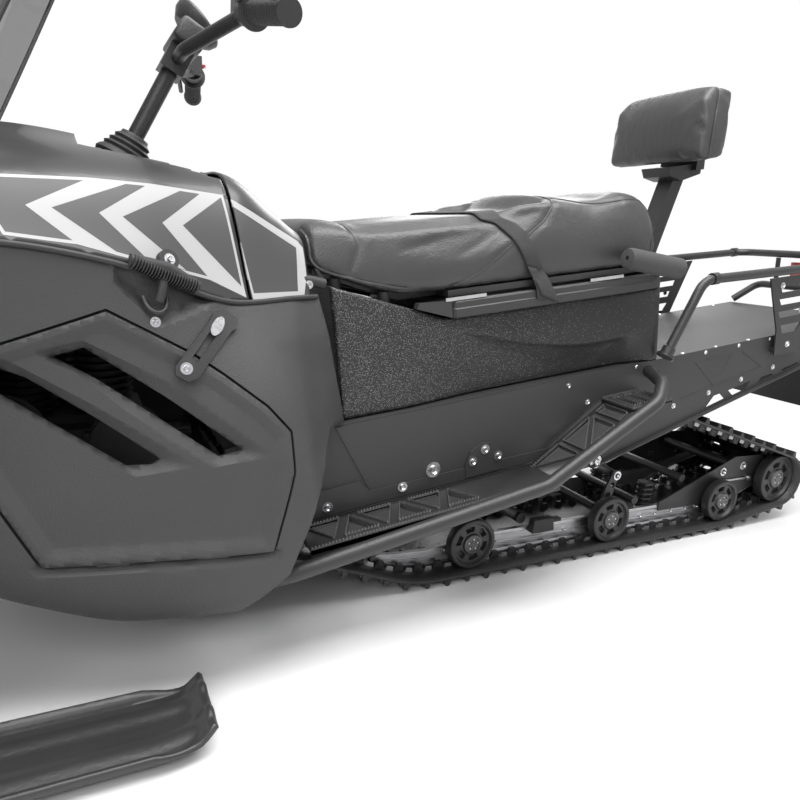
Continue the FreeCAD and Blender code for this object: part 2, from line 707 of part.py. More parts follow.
def rail_braces():
    """Plates on the rear of the rails, and the perforated levers that tie the rear arm to the rails."""
    outline = [(-775, RIDE + 42), (-775, RIDE + 66), (-1054, 190), (-1168, 186), (-1222, 142), (-1222, 108),
               (-1120, 88), (-1050, RIDE + 42)]
    brace = side_prism(outline, RAIL_Y + 6, RAIL_Y + 10)
    x, z = REAR_IDLER
    brace = brace.cut(rod((x, 0, z), (x, 300, z), AXLE_BORE))
    foot = RIDE + 58.5
    outline = [(-626, 192), (-602, 192), (-572, 126), (-566, foot), (-612, foot), (-606, 126)]
    lever = side_prism(outline, RAIL_Y - 1.5, RAIL_Y + 3.5)
    places = [(-614, 179, 11.2), (-603, 154, 8), (-592, 128, 8)]
    holes = [rod((x, 0, z), (x, 300, z), r) for x, z, r in places]
    return pair(Part.makeCompound([brace, cut(lever, holes)]))


def springs():
    """Damper in its spring's plain sleeve between the arms, and an upright spring on each rail."""
    damper = rod((-350, 0, 118), (-586, 0, 214), 12)
    coil = rod((-366, 0, 124.5), (-520, 0, 187.2), 30)
    upright = rod((-756, 92, RIDE + 26), (-762, 92, RIDE + 112), 24)
    return Part.makeCompound([join([damper, coil]), upright, mirrored(upright)])


def snow_flap():
    """Rubber flap hung behind the track from the rear of the tunnel."""
    outline = [(-1366, -4), (-1384, -4), (-1398, -300), (-1393, -301), (-1378, -14), (-1366, -10)]
    tongue_slot = block((-1450, -34, -66), (-1300, 34, -44))
    return on_chassis(side_prism(outline, -190, 190).cut(tongue_slot))


# ---- rear rack, bumper, backrest ----
RACK_ROUTE = [
    (-612, 233, 12), (-728, 230, 174), (-1428, 230, 157),
    (-1428, -230, 157), (-728, -230, 174), (-612, -233, 12),
]


def rack_rail():
    """Tube rail around the deck, one bend at each foot and one at each rear corner."""
    return on_chassis(bent_tube(RACK_ROUTE, RACK_R, 52))


def rack_plates():
    """Slotted side plates that carry the rail on the tunnel's sides."""
    outline = [(-964, 152), (-1198, 150), (-1108, -6), (-1096, -50), (-1004, -50), (-1004, 18), (-980, 96)]
    plate = side_prism(outline, TUNNEL_HALF + 13, TUNNEL_HALF + 17)
    slots = [side_prism([(-1026, 6), (-1080, 6), (-1098, 28), (-1018, 28)], 200, 260)]
    for row in range(3):
        w = 56 + row * 32
        reach = 1100 + row * 20
        outline = [(-reach, w - 8), (-reach - 8, w + 8), (-1004, w + 8), (-1012, w - 8)]
        slots.append(side_prism(outline, 200, 260))
    feet = block((-1090, TUNNEL_HALF, -44), (-1010, TUNNEL_HALF + 14, -30))
    return on_chassis(pair(join([cut(plate, slots), feet])))


def rear_bumper():
    """Rear bumper tube from the deck's corners up to the rack's rear rail."""
    tube = bent_tube([(-1364, 196, 12), (-1420, 150, 60), (-1420, -150, 60), (-1364, -196, 12)], RACK_R, 40)
    posts = [rod((-1422, y, 62), (-1426, y, 145), 7) for y in (-90, 90)]
    return on_chassis(join([tube] + posts))


def tail_lamp():
    return on_chassis(block((-1446, -52, 84), (-1434, 52, 132)))


def hitch():
    """Tow tongue under the rear of the tunnel, with its pin hole."""
    tongue = block((-1454.6, -30, -60), (-1300, 30, -50))
    tongue = tongue.cut(rod((-1430, 0, -80), (-1430, 0, -30), 8.5))
    legs = [block((-1360, y - 4, -50), (-1300, y + 4, -3.2)) for y in (-26, 26)]
    return on_chassis(join([tongue] + legs))


def backrest_post():
    """Box-section post that leans back behind the seat, with a base plate and a fork under the pad."""
    foot = block((-716, -44, 0.5), (-626, 44, 8))
    lean = side_prism([(-644, 8), (-682, 8), (-880, 428), (-842, 428)], -24, 24)
    head = side_prism([(-798, 408), (-836, 396), (-900, 410), (-906, 436), (-790, 430)], -46, 46)
    plate = side_prism([(-868, 420), (-896, 420), (-912, 600), (-900, 600)], -60, 60)
    brace = block((-736, -20, 196), (-667, 20, 212))
    return on_chassis(join([foot, lean, head, plate, brace]))


def backrest_pad():
    """Plain foam of the passenger's backrest."""
    outline = [(-772, 444), (-790, 433), (-858, 438), (-892, 604), (-826, 614), (-790, 580)]
    return on_chassis(side_prism(outline, -165, 165))


GRIP_ROUTE = [(-490, 243, 244.3), (-655, 243, 204), (-655, -243, 204), (-490, -243, 244.3)]


def grip_tube():
    """Bent tube across the back of the seat that ends inside the passenger's two grips."""
    return on_chassis(bent_tube(GRIP_ROUTE, RACK_R, 30))


def passenger_grips():
    """Foam grips either side of the passenger, closed in front and open for the tube behind."""
    front = V(-475, 243, 248)
    axis = (V(*GRIP_ROUTE[1]) - V(*GRIP_ROUTE[0])).normalize()
    foam = rod(tuple(front), tuple(front + axis * 158), 23)
    bore = rod(GRIP_ROUTE[0], tuple(front + axis * 200), RACK_R + 0.3)
    return on_chassis(pair(foam.cut(bore)))


# ---- hinges and catches of the body ----
def body_hinges():
    """Hood hinge pins in lugs inside the nose, and two pins along the lower edge of each side door."""
    x, z = HOOD_HINGE
    lug = side_prism([(x - 40, 406), (x + 6, 444), (x + 8, z + 9), (x - 12, z + 9)], 36, 42)
    solids = [join([rod((x, 30, z), (x, 62, z), 6), lug])]
    low, high = V(*DOOR_HINGE[0]), V(*DOOR_HINGE[1])
    run = (high - low).normalize()
    for distance in (70, 210):
        start = low + run * distance
        solids.append(rod(tuple(start), tuple(start + run * 44), 2.5))
    return pair(Part.makeCompound(solids))


def export(name, shape):
    solids = shape.Solids
    if len(solids) == 1:
        shape = solids[0]
    print(f"{name:18s} solids {len(solids)} volume {shape.Volume / 1e6:8.3f} l valid {shape.isValid()}")
    shape.exportStep(os.path.join("parts", name + ".step"))


NODES = {
    "tunnel": tunnel,
    "side_plates": side_plates,
    "running_boards": running_boards,
    "side_tubes": side_tubes,
    "storage_box": storage_box,
    "seat_rim": seat_rim,
    "seat": seat,
    "seat_pan": seat_pan,
    "seat_hardware": seat_hardware,
    "lower_body": lower_body,
    "door_left": door_left,
    "door_right": lambda: mirrored(door_left()),
    "console": console,
    "hood": hood,
    "headlamps": headlamps,
    "windshield": windshield,
    "body_hinges": body_hinges,
    "engine_block": engine_block,
    "front_frame": front_frame,
    "strut_housings": strut_housings,
    "spindle_left": spindle,
    "spindle_right": lambda: mirrored(spindle()),
    "ski_left": ski,
    "ski_right": lambda: mirrored(ski()),
    "ski_loop_left": ski_loop,
    "ski_loop_right": lambda: mirrored(ski_loop()),
    "handlebar": handlebar,
    "bar_grips": bar_grips,
    "bar_pad": bar_pad,
    "track": track,
    "slide_rails": slide_rails,
    "rail_braces": rail_braces,
    "wheel_brackets": wheel_brackets,
    "bogie_wheels": bogie_wheels,
    "rear_idlers": rear_idlers,
    "skid_axles": skid_axles,
    "drive_axle": drive_axle,
    "front_arm": front_arm,
    "rear_arm": rear_arm,
    "springs": springs,
    "snow_flap": snow_flap,
    "rack_rail": rack_rail,
    "rack_plates": rack_plates,
    "rear_bumper": rear_bumper,
    "tail_lamp": tail_lamp,
    "hitch": hitch,
    "backrest_post": backrest_post,
    "backrest_pad": backrest_pad,
    "passenger_grips": passenger_grips,
    "grip_tube": grip_tube,
}

os.makedirs("parts", exist_ok=True)
for node, make in NODES.items():
    export(node, make())
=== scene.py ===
# %% [markdown]
# # A two-up utility snowmobile
# The machine is already built as a jointed CAD part: every body, hinge and hollow is fixed there.
# These cells give it its looks. Each new piece is made in metres in the same frame, +X forward, +Y to
# the rider's left and +Z up, so a piece needs no fitting. It only has to ride on the right body.

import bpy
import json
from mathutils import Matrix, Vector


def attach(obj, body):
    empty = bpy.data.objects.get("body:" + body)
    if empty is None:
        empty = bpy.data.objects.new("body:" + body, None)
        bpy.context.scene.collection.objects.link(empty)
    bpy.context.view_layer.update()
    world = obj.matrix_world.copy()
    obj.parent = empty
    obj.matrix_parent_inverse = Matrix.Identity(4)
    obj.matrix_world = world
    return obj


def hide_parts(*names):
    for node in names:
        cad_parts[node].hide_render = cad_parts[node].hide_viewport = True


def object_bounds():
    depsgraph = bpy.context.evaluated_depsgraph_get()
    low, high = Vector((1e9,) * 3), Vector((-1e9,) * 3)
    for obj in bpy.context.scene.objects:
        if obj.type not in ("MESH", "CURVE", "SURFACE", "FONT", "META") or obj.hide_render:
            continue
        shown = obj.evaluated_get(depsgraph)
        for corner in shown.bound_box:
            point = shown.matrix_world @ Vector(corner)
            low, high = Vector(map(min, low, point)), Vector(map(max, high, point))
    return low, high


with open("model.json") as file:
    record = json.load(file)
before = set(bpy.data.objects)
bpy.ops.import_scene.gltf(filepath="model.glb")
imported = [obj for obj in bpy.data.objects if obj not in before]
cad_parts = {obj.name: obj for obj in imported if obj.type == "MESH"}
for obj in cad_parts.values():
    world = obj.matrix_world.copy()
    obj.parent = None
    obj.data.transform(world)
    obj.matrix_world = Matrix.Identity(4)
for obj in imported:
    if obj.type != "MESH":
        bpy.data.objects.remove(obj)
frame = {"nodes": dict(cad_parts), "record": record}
cad_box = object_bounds()

# %% Tools used all through
import json
import math

import bmesh
import bpy
from mathutils import Matrix, Vector
from mathutils.bvhtree import BVHTree
from mathutils.kdtree import KDTree

MM = 0.001
TOUCHING = 0.01 * MM
RAKE = math.radians(7.5)
DECK_HEIGHT = 417
ALONG = Vector((math.cos(RAKE), 0, -math.sin(RAKE)))
ABOVE = Vector((math.sin(RAKE), 0, math.cos(RAKE)))
LEFT, RIGHT = 1, -1
FORWARDS, LEFTWARDS, UPWARDS = Vector((1, 0, 0)), Vector((0, 1, 0)), Vector((0, 0, 1))


def deck(along, across, above):
    """A point given by the sloping deck: along it, across it and above it, in millimetres."""
    return (ALONG * along + Vector((0, across, DECK_HEIGHT)) + ABOVE * above) * MM


def mm(x, y, z):
    """A point of the frame given in millimetres."""
    return Vector((x, y, z)) * MM


def in_deck(point):
    """A frame point as (along, across, above) the deck in millimetres."""
    p = point / MM - Vector((0, 0, DECK_HEIGHT))
    return p.dot(ALONG), p.y, p.dot(ABOVE)


def ramp(value, low, high):
    """0 below low, 1 above high and a straight line between them."""
    return max(0.0, min(1.0, (value - low) / (high - low)))


def around(points):
    """Each point of a closed outline with the next one."""
    return zip(points, points[1:] + points[:1])


print("deck's front edge:", [round(v, 3) for v in deck(400, 0, 0)])

# %% [markdown]
# ## Camera
# The view is a three-quarter one of the left side, from just above seat height and close by, so the
# perspective is strong. The camera is turned by three angles: a yaw towards the rear, a pitch down
# and a slight roll. Building its axes from cross products keeps the three angles readable.

# %% Camera
EYE = mm(635.5, 1353.2, 738.7)
YAW, PITCH, ROLL = (math.radians(a) for a in (27.327, 14.058, 3.411))
ahead = Vector((-math.sin(YAW) * math.cos(PITCH), -math.cos(YAW) * math.cos(PITCH), -math.sin(PITCH)))
level_right = ahead.cross(UPWARDS).normalized()
level_up = level_right.cross(ahead)
right = level_right * math.cos(ROLL) + level_up * math.sin(ROLL)
up = level_up * math.cos(ROLL) - level_right * math.sin(ROLL)

camera = bpy.data.objects.new("camera", bpy.data.cameras.new("camera"))
bpy.context.scene.collection.objects.link(camera)
camera.matrix_world = Matrix.Translation(EYE) @ Matrix((right, up, -ahead)).transposed().to_4x4()
camera.data.lens = 30.6
camera.data.shift_x, camera.data.shift_y = -0.0093, 0.011
camera.data.clip_start, camera.data.clip_end = 0.05, 60
bpy.context.scene.camera = camera
bpy.context.scene.view_settings.view_transform = "Standard"
print("camera looks along", [round(v, 3) for v in ahead])

# %% [markdown]
# ## Writing shader maths as Python
# A procedural finish is mostly arithmetic on a few noise patterns. Adding Math nodes by hand hides
# that arithmetic, so a small class wraps a socket and lets + - * and < be written on it. A second
# class adds any node from its type, settings and inputs, and a third one holds one material.

# %% A socket that arithmetic works on
class Wire:
    """A socket of some nodes; an expression on it adds the Math nodes."""

    def __init__(self, nodes, socket):
        self.nodes, self.socket = nodes, socket

    def _math(self, operation, a, b):
        return self.nodes.add("ShaderNodeMath", {"operation": operation}, {0: a, 1: b})["Value"]

    def __add__(self, other):
        return self._math("ADD", self, other)

    def __rsub__(self, other):
        return self._math("SUBTRACT", other, self)

    def __mul__(self, other):
        return self._math("MULTIPLY", self, other)

    def __lt__(self, other):
        return self._math("LESS_THAN", self, other)

    __radd__, __rmul__ = __add__, __mul__

    def at_most(self, other):
        return self._math("MINIMUM", self, other)

    def wave(self):
        return self._math("SINE", self, 0)


class Nodes:
    """A node tree; any node is added from its type, its settings and its inputs."""

    def __init__(self, tree):
        self.tree = tree

    def plug(self, socket, value):
        if isinstance(value, Wire):
            self.tree.links.new(value.socket, socket)
        else:
            socket.default_value = value

    def add(self, kind, settings=None, inputs=None):
        node = self.tree.nodes.new(kind)
        for key, value in (settings or {}).items():
            setattr(node, key, value)
        for key, value in (inputs or {}).items():
            self.plug(node.inputs[key], value)
        return {socket.name: Wire(self, socket) for socket in node.outputs}


class Finish(Nodes):
    """One material and the patterns that feed its main shader."""

    def __init__(self, name, colour, roughness, metallic=0.0, coat=0.0, alpha=1.0):
        self.material = bpy.data.materials.new(name)
        self.material.use_nodes = True
        super().__init__(self.material.node_tree)
        self.shader = self.tree.nodes["Principled BSDF"]
        self.set("Base Color", (*colour, 1)).set("Roughness", roughness).set("Metallic", metallic)
        self.set("Coat Weight", coat).set("Alpha", alpha)

    def set(self, name, value):
        self.plug(self.shader.inputs[name], value)
        return self

    def place(self):
        """Where a point of the piece is, in its own coordinates."""
        return self.add("ShaderNodeTexCoord")["Object"]

    def stretched(self, x, y, z):
        """The same, scaled by axis so that a pattern runs out long along one of them."""
        return self.add("ShaderNodeMapping", {}, {"Vector": self.place(), "Scale": (x, y, z)})["Vector"]

    def noise(self, scale, detail=2.0, vector=None):
        made = self.add(
            "ShaderNodeTexNoise", {}, {"Vector": vector or self.place(), "Scale": scale, "Detail": detail}
        )
        return made.get("Fac") or made["Factor"]

    def cells(self, scale):
        return self.add("ShaderNodeTexVoronoi", {}, {"Vector": self.place(), "Scale": scale})

    def colours(self, share, low, high):
        """A colour that goes from low to high with the share."""
        made = self.tree.nodes.new("ShaderNodeMix")
        made.data_type = "RGBA"
        for place, value in ((0, share), (6, (*low, 1)), (7, (*high, 1))):
            self.plug(made.inputs[place], value)
        return Wire(self, made.outputs[2])

    def bump(self, height, distance):
        """Let a pattern tilt the surface; the distance is the relief's height in metres."""
        made = self.add("ShaderNodeBump", {}, {"Height": height, "Distance": distance, "Strength": 1.0})
        return self.set("Normal", made["Normal"])


def grey(value, blue=1.0):
    """A grey, with a little more blue where blue is over 1."""
    return (value, value, value * blue)


print("helpers:", Wire.__name__, Nodes.__name__, Finish.__name__)

# %% [markdown]
# ## Stage
# A pale floor takes the soft shadow under the machine. Further out it turns to plain white for camera,
# mirror and see-through rays, so there is no hard horizon. The lamps are wide softboxes: one overhead
# for the tops of the seat and hood, one beside the camera for the flank, and one from behind.

# %% Floor, world and lamps
STUDIO_WHITE, IN_MIRRORS, WORLD_LIGHT = 1.0, 0.65, 0.30
WHITE = (1, 1, 1, 1)


def seen_directly(nodes, mirrored=1.0):
    """1 for camera and see-through rays, and a share of it for mirror rays."""
    rays = nodes.add("ShaderNodeLightPath")
    return (rays["Is Camera Ray"] + mirrored * rays["Is Glossy Ray"] + rays["Is Transmission Ray"]).at_most(1)


def mixed_into(nodes, output, share, lit, white):
    """Send a mix of two shaders to an output node."""
    mixed = nodes.add("ShaderNodeMixShader", {}, {0: share, 1: lit, 2: white})["Shader"]
    nodes.plug(nodes.tree.nodes[output].inputs["Surface"], mixed)


floor_finish = Finish("studio_floor", grey(0.86), 0.9)
spot = floor_finish.add("ShaderNodeVectorMath", {"operation": "LENGTH"}, {0: floor_finish.place()})["Value"]
far = floor_finish.add("ShaderNodeMapRange", {}, {"Value": spot, "From Min": 0.9, "From Max": 3.0})["Result"]
glow = floor_finish.add("ShaderNodeEmission", {}, {"Strength": STUDIO_WHITE})["Emission"]
lit_floor = Wire(floor_finish, floor_finish.shader.outputs[0])
mixed_into(floor_finish, "Material Output", far * seen_directly(floor_finish), lit_floor, glow)

floor_mesh = bmesh.new()
bmesh.ops.create_circle(floor_mesh, cap_ends=True, segments=64, radius=14)
floor = bpy.data.objects.new("studio_floor", bpy.data.meshes.new("studio_floor"))
floor_mesh.to_mesh(floor.data)
floor_mesh.free()
floor.location.z = cad_box[0].z
floor.data.materials.append(floor_finish.material)
bpy.context.scene.collection.objects.link(floor)

world = bpy.data.worlds.new("studio")
bpy.context.scene.world = world
world.use_nodes = True
sky = Nodes(world.node_tree)
backgrounds = [
    sky.add("ShaderNodeBackground", {}, {"Color": WHITE, "Strength": strength})["Background"]
    for strength in (WORLD_LIGHT, STUDIO_WHITE)
]
mixed_into(sky, "World Output", seen_directly(sky, IN_MIRRORS), *backgrounds)


def softbox(name, place, aim, width, height, watts):
    """A wide lamp at a place, turned towards another one."""
    lamp = bpy.data.objects.new(name, bpy.data.lights.new(name, "AREA"))
    lamp.data.shape, lamp.data.size, lamp.data.size_y, lamp.data.energy = "RECTANGLE", width, height, watts
    turn = (Vector(aim) - Vector(place)).to_track_quat("-Z", "Y")
    lamp.matrix_world = Matrix.Translation(place) @ turn.to_matrix().to_4x4()
    bpy.context.scene.collection.objects.link(lamp)


softbox("overhead", (-0.2, 0.6, 3.6), (-0.2, 0, 0.5), 4.0, 2.4, 225)
softbox("flank", (2.0, 3.2, 2.8), (0, 0, 0.4), 3.0, 1.6, 60)
softbox("behind", (-2.6, -3.2, 2.4), (0, 0, 0.6), 2.6, 1.6, 60)
print("stage ready")

# %% [markdown]
# ## Finishes
# The machine is almost all black and dark grey, so its parts are told apart by gloss and grain: a
# smooth glossy upper body, a pebbled matte door, a moulded box with glossy flecks painted light as glints,
# soft vinyl, powder coat, rubber and bright zinc. Each finish mixes two close tones with noise and adds its
# own bump.

# %% Plastics and paint
made = {}


def grained(name, low, high, roughness, spread, grain, depth, **more):
    """A finish whose tone and roughness wander a little and whose grain is a fine bump."""
    finish = Finish(name, low, roughness, **more)
    wander = finish.noise(9, 4)
    finish.set("Base Color", finish.colours(wander, low, high))
    finish.set("Roughness", roughness - spread / 2 + spread * wander)
    finish.bump(finish.noise(grain, 3), depth)
    made[name] = finish.material
    return finish


grained("body_gloss", grey(0.022), grey(0.03, 1.04), 0.36, 0.05, 60, 0.0002, coat=0.12)
grained("body_matte", grey(0.038), grey(0.05, 1.02), 0.56, 0.12, 420, 0.0009)
grained("rim_plastic", grey(0.03), grey(0.04), 0.42, 0.12, 260, 0.0005)
grained("ski_plastic", grey(0.028), grey(0.038), 0.38, 0.16, 120, 0.0006)
grained("steel_sheet", grey(0.033), grey(0.042, 1.03), 0.54, 0.1, 500, 0.0004)
grained("steel_black", grey(0.022), grey(0.03), 0.4, 0.14, 480, 0.0005)
grained("engine_metal", grey(0.02), grey(0.05), 0.62, 0.2, 90, 0.0015)

# The box's flecks are the middles of small cells, glossier than the rest and painted light grey as glints,
# and more of the cells have one towards the front.
box = grained("box_plastic", grey(0.012), grey(0.018), 0.36, 0.1, 420, 0.0012, coat=0.1)
flecks = box.cells(480)
chance = box.add("ShaderNodeSeparateColor", {}, {0: flecks["Color"]})["Red"]
forwards = box.add("ShaderNodeSeparateXYZ", {}, {0: box.place()})["X"]
share = box.add("ShaderNodeMapRange", {}, {
    "Value": forwards, "From Min": -0.42, "From Max": 0.08, "To Min": 0.05, "To Max": 0.62,
})["Result"]
# Painted glints: a fleck's light grey colour stands in for glints, and the share of cells with one rises
# towards the front.
fleck_gloss_and_painted_glints = (flecks["Distance"] < 0.34) * (chance < share)
box.set("Base Color", box.colours(fleck_gloss_and_painted_glints, grey(0.011), grey(0.24)))
box.set("Roughness", 0.34 - 0.12 * fleck_gloss_and_painted_glints)
print(len(made), "plastics and paints")

# %% Metals, rubber and lenses
aluminium = Finish("rail_aluminium", grey(0.5, 1.03), 0.34, metallic=1.0)
drawn = aluminium.noise(40, 3, aluminium.stretched(1, 60, 14))
aluminium.set("Roughness", 0.26 + 0.2 * drawn).bump(drawn, 0.0004)
aluminium.set("Base Color", aluminium.colours(drawn, grey(0.42, 1.03), grey(0.6, 1.03)))
made["rail_aluminium"] = aluminium.material

zinc = Finish("bright_steel", grey(0.62, 1.02), 0.28, metallic=1.0)
cloud = zinc.noise(120, 3)
zinc.set("Base Color", zinc.colours(cloud, grey(0.5, 1.03), grey(0.7, 1.02)))
zinc.set("Roughness", 0.2 + 0.16 * cloud).bump(cloud, 0.0002)
made["bright_steel"] = zinc.material

grained("track_rubber", grey(0.012), grey(0.03), 0.4, 0.3, 160, 0.0016)
grained("wheel_rubber", grey(0.018), grey(0.026), 0.45, 0.2, 200, 0.0006)
grained("grip_rubber", grey(0.02), grey(0.028), 0.6, 0.15, 260, 0.0006)
grained("flap_rubber", grey(0.022), grey(0.03), 0.55, 0.2, 90, 0.0008)
foam = grained("grip_foam", grey(0.05), grey(0.07), 0.78, 0.1, 300, 0.0005)
foam.bump(foam.cells(420)["Distance"] * 0.6 + foam.noise(900, 2), 0.0009)

grained("lamp_lens", grey(0.75, 1.04), grey(0.8, 1.04), 0.06, 0.03, 30, 0.0002, alpha=0.42, coat=1.0)
grained("screen", grey(0.03, 1.1), grey(0.035, 1.1), 0.08, 0.04, 12, 0.0002, alpha=0.5, coat=1.0)
grained("tail_lens", (0.36, 0.012, 0.01), (0.42, 0.016, 0.012), 0.16, 0.05, 50, 0.0002, coat=1.0)
print(len(made), "finishes so far")

# %% Vinyl and webbing
vinyl = Finish("seat_vinyl", grey(0.05), 0.42)
tone = vinyl.noise(6, 4)
pores = vinyl.cells(330)["Distance"]
crumple = vinyl.noise(26, 3, vinyl.stretched(1, 2.2, 1))
vinyl.set("Base Color", vinyl.colours(tone, grey(0.036, 1.02), grey(0.06, 1.03)))
vinyl.set("Roughness", 0.28 + 0.14 * tone + 0.06 * pores)
vinyl.bump(pores * 0.35 + crumple * 1.6 + vinyl.noise(900, 2) * 0.2, 0.0011)
made["seat_vinyl"] = vinyl.material

webbing = Finish("strap_webbing", grey(0.03), 0.72)
weave = webbing.add("ShaderNodeUVMap", {"uv_map": "weave"})["UV"]
axes = webbing.add("ShaderNodeSeparateXYZ", {}, {0: weave})
warp, weft = (axes["Y"] * 2200).wave(), (axes["X"] * 1500 + axes["Y"] * 1500).wave()
threads = warp * weft * 0.5 + 0.5
webbing.set("Base Color", webbing.colours(threads, grey(0.03), grey(0.055)))
webbing.set("Roughness", 0.66 + 0.2 * threads).bump(threads, 0.0006)
made["strap_webbing"] = webbing.material
print(len(made), "finishes")

# %% Give every CAD node its finish
for subpart in frame["record"]["subparts"]:
    node = frame["nodes"][subpart["node"]]
    node.data.materials.clear()
    node.data.materials.append(made[subpart["material_slot"]])
print(len(frame["nodes"]), "nodes finished")

# %% [markdown]
# ## Body shells
# The moulded body is one long hull, cut into hood, tank cover, lower body and two doors. Lofting it
# from the same cross-sections as the CAD part keeps it in place, and a spline through them rounds off
# the flats. A plain grid from bmesh is laid over that hull, so every panel has even quads. Outlines
# are cut by bisecting with one plane per edge, which gives crisp edges on a curved surface.

# %% Cross-sections of the hull
STATIONS = [
    (172, (0, 300), (196, 300), (214, 372), (214, 404), (214, 632), (150, 700), (0, 714)),
    (250, (0, 200), (280, 200), (340, 330), (300, 430), (222, 634), (168, 724), (0, 740)),
    (300, (0, 150), (340, 150), (388, 300), (350, 450), (245, 632), (178, 756), (0, 772)),
    (385, (0, 146), (372, 146), (388, 300), (372, 470), (286, 628), (196, 806), (0, 832)),
    (560, (0, 150), (352, 150), (376, 300), (362, 490), (336, 684), (262, 802), (0, 872)),
    (700, (0, 192), (330, 192), (358, 310), (352, 500), (350, 707), (285, 794), (0, 884)),
    (850, (0, 262), (296, 262), (330, 350), (334, 510), (334, 710), (268, 784), (0, 868)),
    (1000, (0, 330), (236, 330), (276, 400), (284, 530), (282, 686), (224, 756), (0, 816)),
    (1120, (0, 404), (150, 404), (182, 450), (186, 545), (182, 634), (140, 694), (0, 728)),
    (1192, (0, 470), (50, 470), (68, 500), (72, 548), (70, 592), (48, 628), (0, 642)),
]
KEEL, FLOOR, LOW, HIGH, SEAM, SHOULDER, CREST = range(7)


def eased(knots, values, t, stiff=0.5):
    """Spline through values at knots; a limited slope at each knot keeps it from overshooting."""
    i = max(k for k in range(len(knots) - 1) if knots[k] <= t or k == 0)
    step = knots[i + 1] - knots[i]

    def slope(k):
        if k in (0, len(knots) - 1):
            j = min(k, len(knots) - 2)
            return (values[j + 1] - values[j]) / (knots[j + 1] - knots[j])
        a = (values[k] - values[k - 1]) / (knots[k] - knots[k - 1])
        b = (values[k + 1] - values[k]) / (knots[k + 1] - knots[k])
        return 0 if a * b <= 0 else 2 * a * b / (a + b) * (1 - stiff) + (a + b) / 2 * stiff

    u = (t - knots[i]) / step
    a, b = values[i], values[i + 1]
    rise_a, rise_b = slope(i) * step, slope(i + 1) * step
    return (
        a * (1 + 2 * u) * (1 - u) ** 2 + rise_a * u * (1 - u) ** 2
        + b * u * u * (3 - 2 * u) + rise_b * u * u * (u - 1)
    )


SECTION_XS = [station[0] for station in STATIONS]


def section(x, first, last):
    """The hull's half-section at x, from one named point to another, as (y, z) pairs."""
    picks = range(first + 1, last + 2)
    return [tuple(eased(SECTION_XS, [s[k][i] for s in STATIONS], x) for i in (0, 1)) for k in picks]


def profile_point(points, share):
    """The point a given share of the way round a rounded half-section."""
    knots = [0.0]
    for (ya, za), (yb, zb) in zip(points, points[1:]):
        knots.append(knots[-1] + math.hypot(yb - ya, zb - za))
    t = share * knots[-1]
    return tuple(eased(knots, [p[i] for p in points], t, 1.0) for i in (0, 1))


def grid(columns, rows):
    """A flat sheet of quads whose corners run from (0, 0) to (1, 1)."""
    bm = bmesh.new()
    bmesh.ops.create_grid(bm, x_segments=columns, y_segments=rows, size=0.5)
    bmesh.ops.translate(bm, verts=bm.verts, vec=(0.5, 0.5, 0))
    return bm


def hull(first, last, low_x, high_x, columns, rows):
    """The left half of the hull between two named lines and two stations."""
    bm = grid(columns, rows)
    strips = {}
    for vertex in bm.verts:
        x = low_x + (high_x - low_x) * vertex.co.x
        key = round(x, 3)
        if key not in strips:
            strips[key] = section(x, first, last)
        y, z = profile_point(strips[key], vertex.co.y)
        vertex.co = mm(x, y, z)
    return bm


def facing(bm, away_from):
    """Turn the faces outwards, away from a point inside the machine."""
    bmesh.ops.recalc_face_normals(bm, faces=bm.faces)
    total = sum((f.normal.dot(f.calc_center_median() - away_from) * f.calc_area() for f in bm.faces))
    if total < 0:
        bmesh.ops.reverse_faces(bm, faces=bm.faces)


def inside(outline, x, z):
    """True if the side-view point is in the outline."""
    hits = False
    for (xa, za), (xb, zb) in around(outline):
        if (za > z) != (zb > z) and x < (xb - xa) * (z - za) / (zb - za) + xa:
            hits = not hits
    return hits


def edge_distance(outline, x, z):
    """How far the side-view point is from the outline's nearest edge, in millimetres."""
    nearest = 1e9
    for (xa, za), (xb, zb) in around(outline):
        dx, dz = xb - xa, zb - za
        t = max(0, min(1, ((x - xa) * dx + (z - za) * dz) / (dx * dx + dz * dz)))
        nearest = min(nearest, math.hypot(x - xa - dx * t, z - za - dz * t))
    return nearest


NEARBY, EVERYWHERE = 25, 2000


def faces_in(bm, outline, margin=NEARBY, plan=False):
    """Cut the mesh along a side-view (or plan) outline and give the faces inside it."""
    second = 1 if plan else 2
    lows = [min(p[i] for p in outline) - margin for i in (0, 1)]
    highs = [max(p[i] for p in outline) + margin for i in (0, 1)]

    def spot_of(face):
        middle = face.calc_center_median()
        return middle[0] / MM, middle[second] / MM

    for a, b in around(outline):
        foot, normal = Vector(), Vector()
        foot[0], foot[second] = a[0] * MM, a[1] * MM
        normal[0], normal[second] = b[1] - a[1], a[0] - b[0]
        near = [f for f in bm.faces if all(low < v < high for low, v, high in zip(lows, spot_of(f), highs))]
        parts = {e for f in near for e in f.edges} | {v for f in near for v in f.verts} | set(near)
        bmesh.ops.bisect_plane(bm, geom=list(parts), dist=1e-6, plane_co=foot, plane_no=normal.normalized())
    return [f for f in bm.faces if inside(outline, *spot_of(f))]


def carve(bm, outline, keep_inside=False, plan=False):
    """Delete the faces inside an outline, or the ones outside it."""
    chosen = set(faces_in(bm, outline, EVERYWHERE if keep_inside else NEARBY, plan))
    gone = [f for f in bm.faces if (f in chosen) != keep_inside]
    bmesh.ops.delete(bm, geom=gone, context="FACES")


def both_sides(bm):
    """Add the mirror image on the machine's right."""
    bmesh.ops.mirror(bm, geom=bm.verts[:] + bm.edges[:] + bm.faces[:], axis="Y", merge_dist=0.0002)


def to_right(bm):
    """Turn a left part into its mirror image on the machine's right."""
    bmesh.ops.scale(bm, vec=(1, -1, 1), verts=bm.verts)
    bmesh.ops.reverse_faces(bm, faces=bm.faces)
    return bm


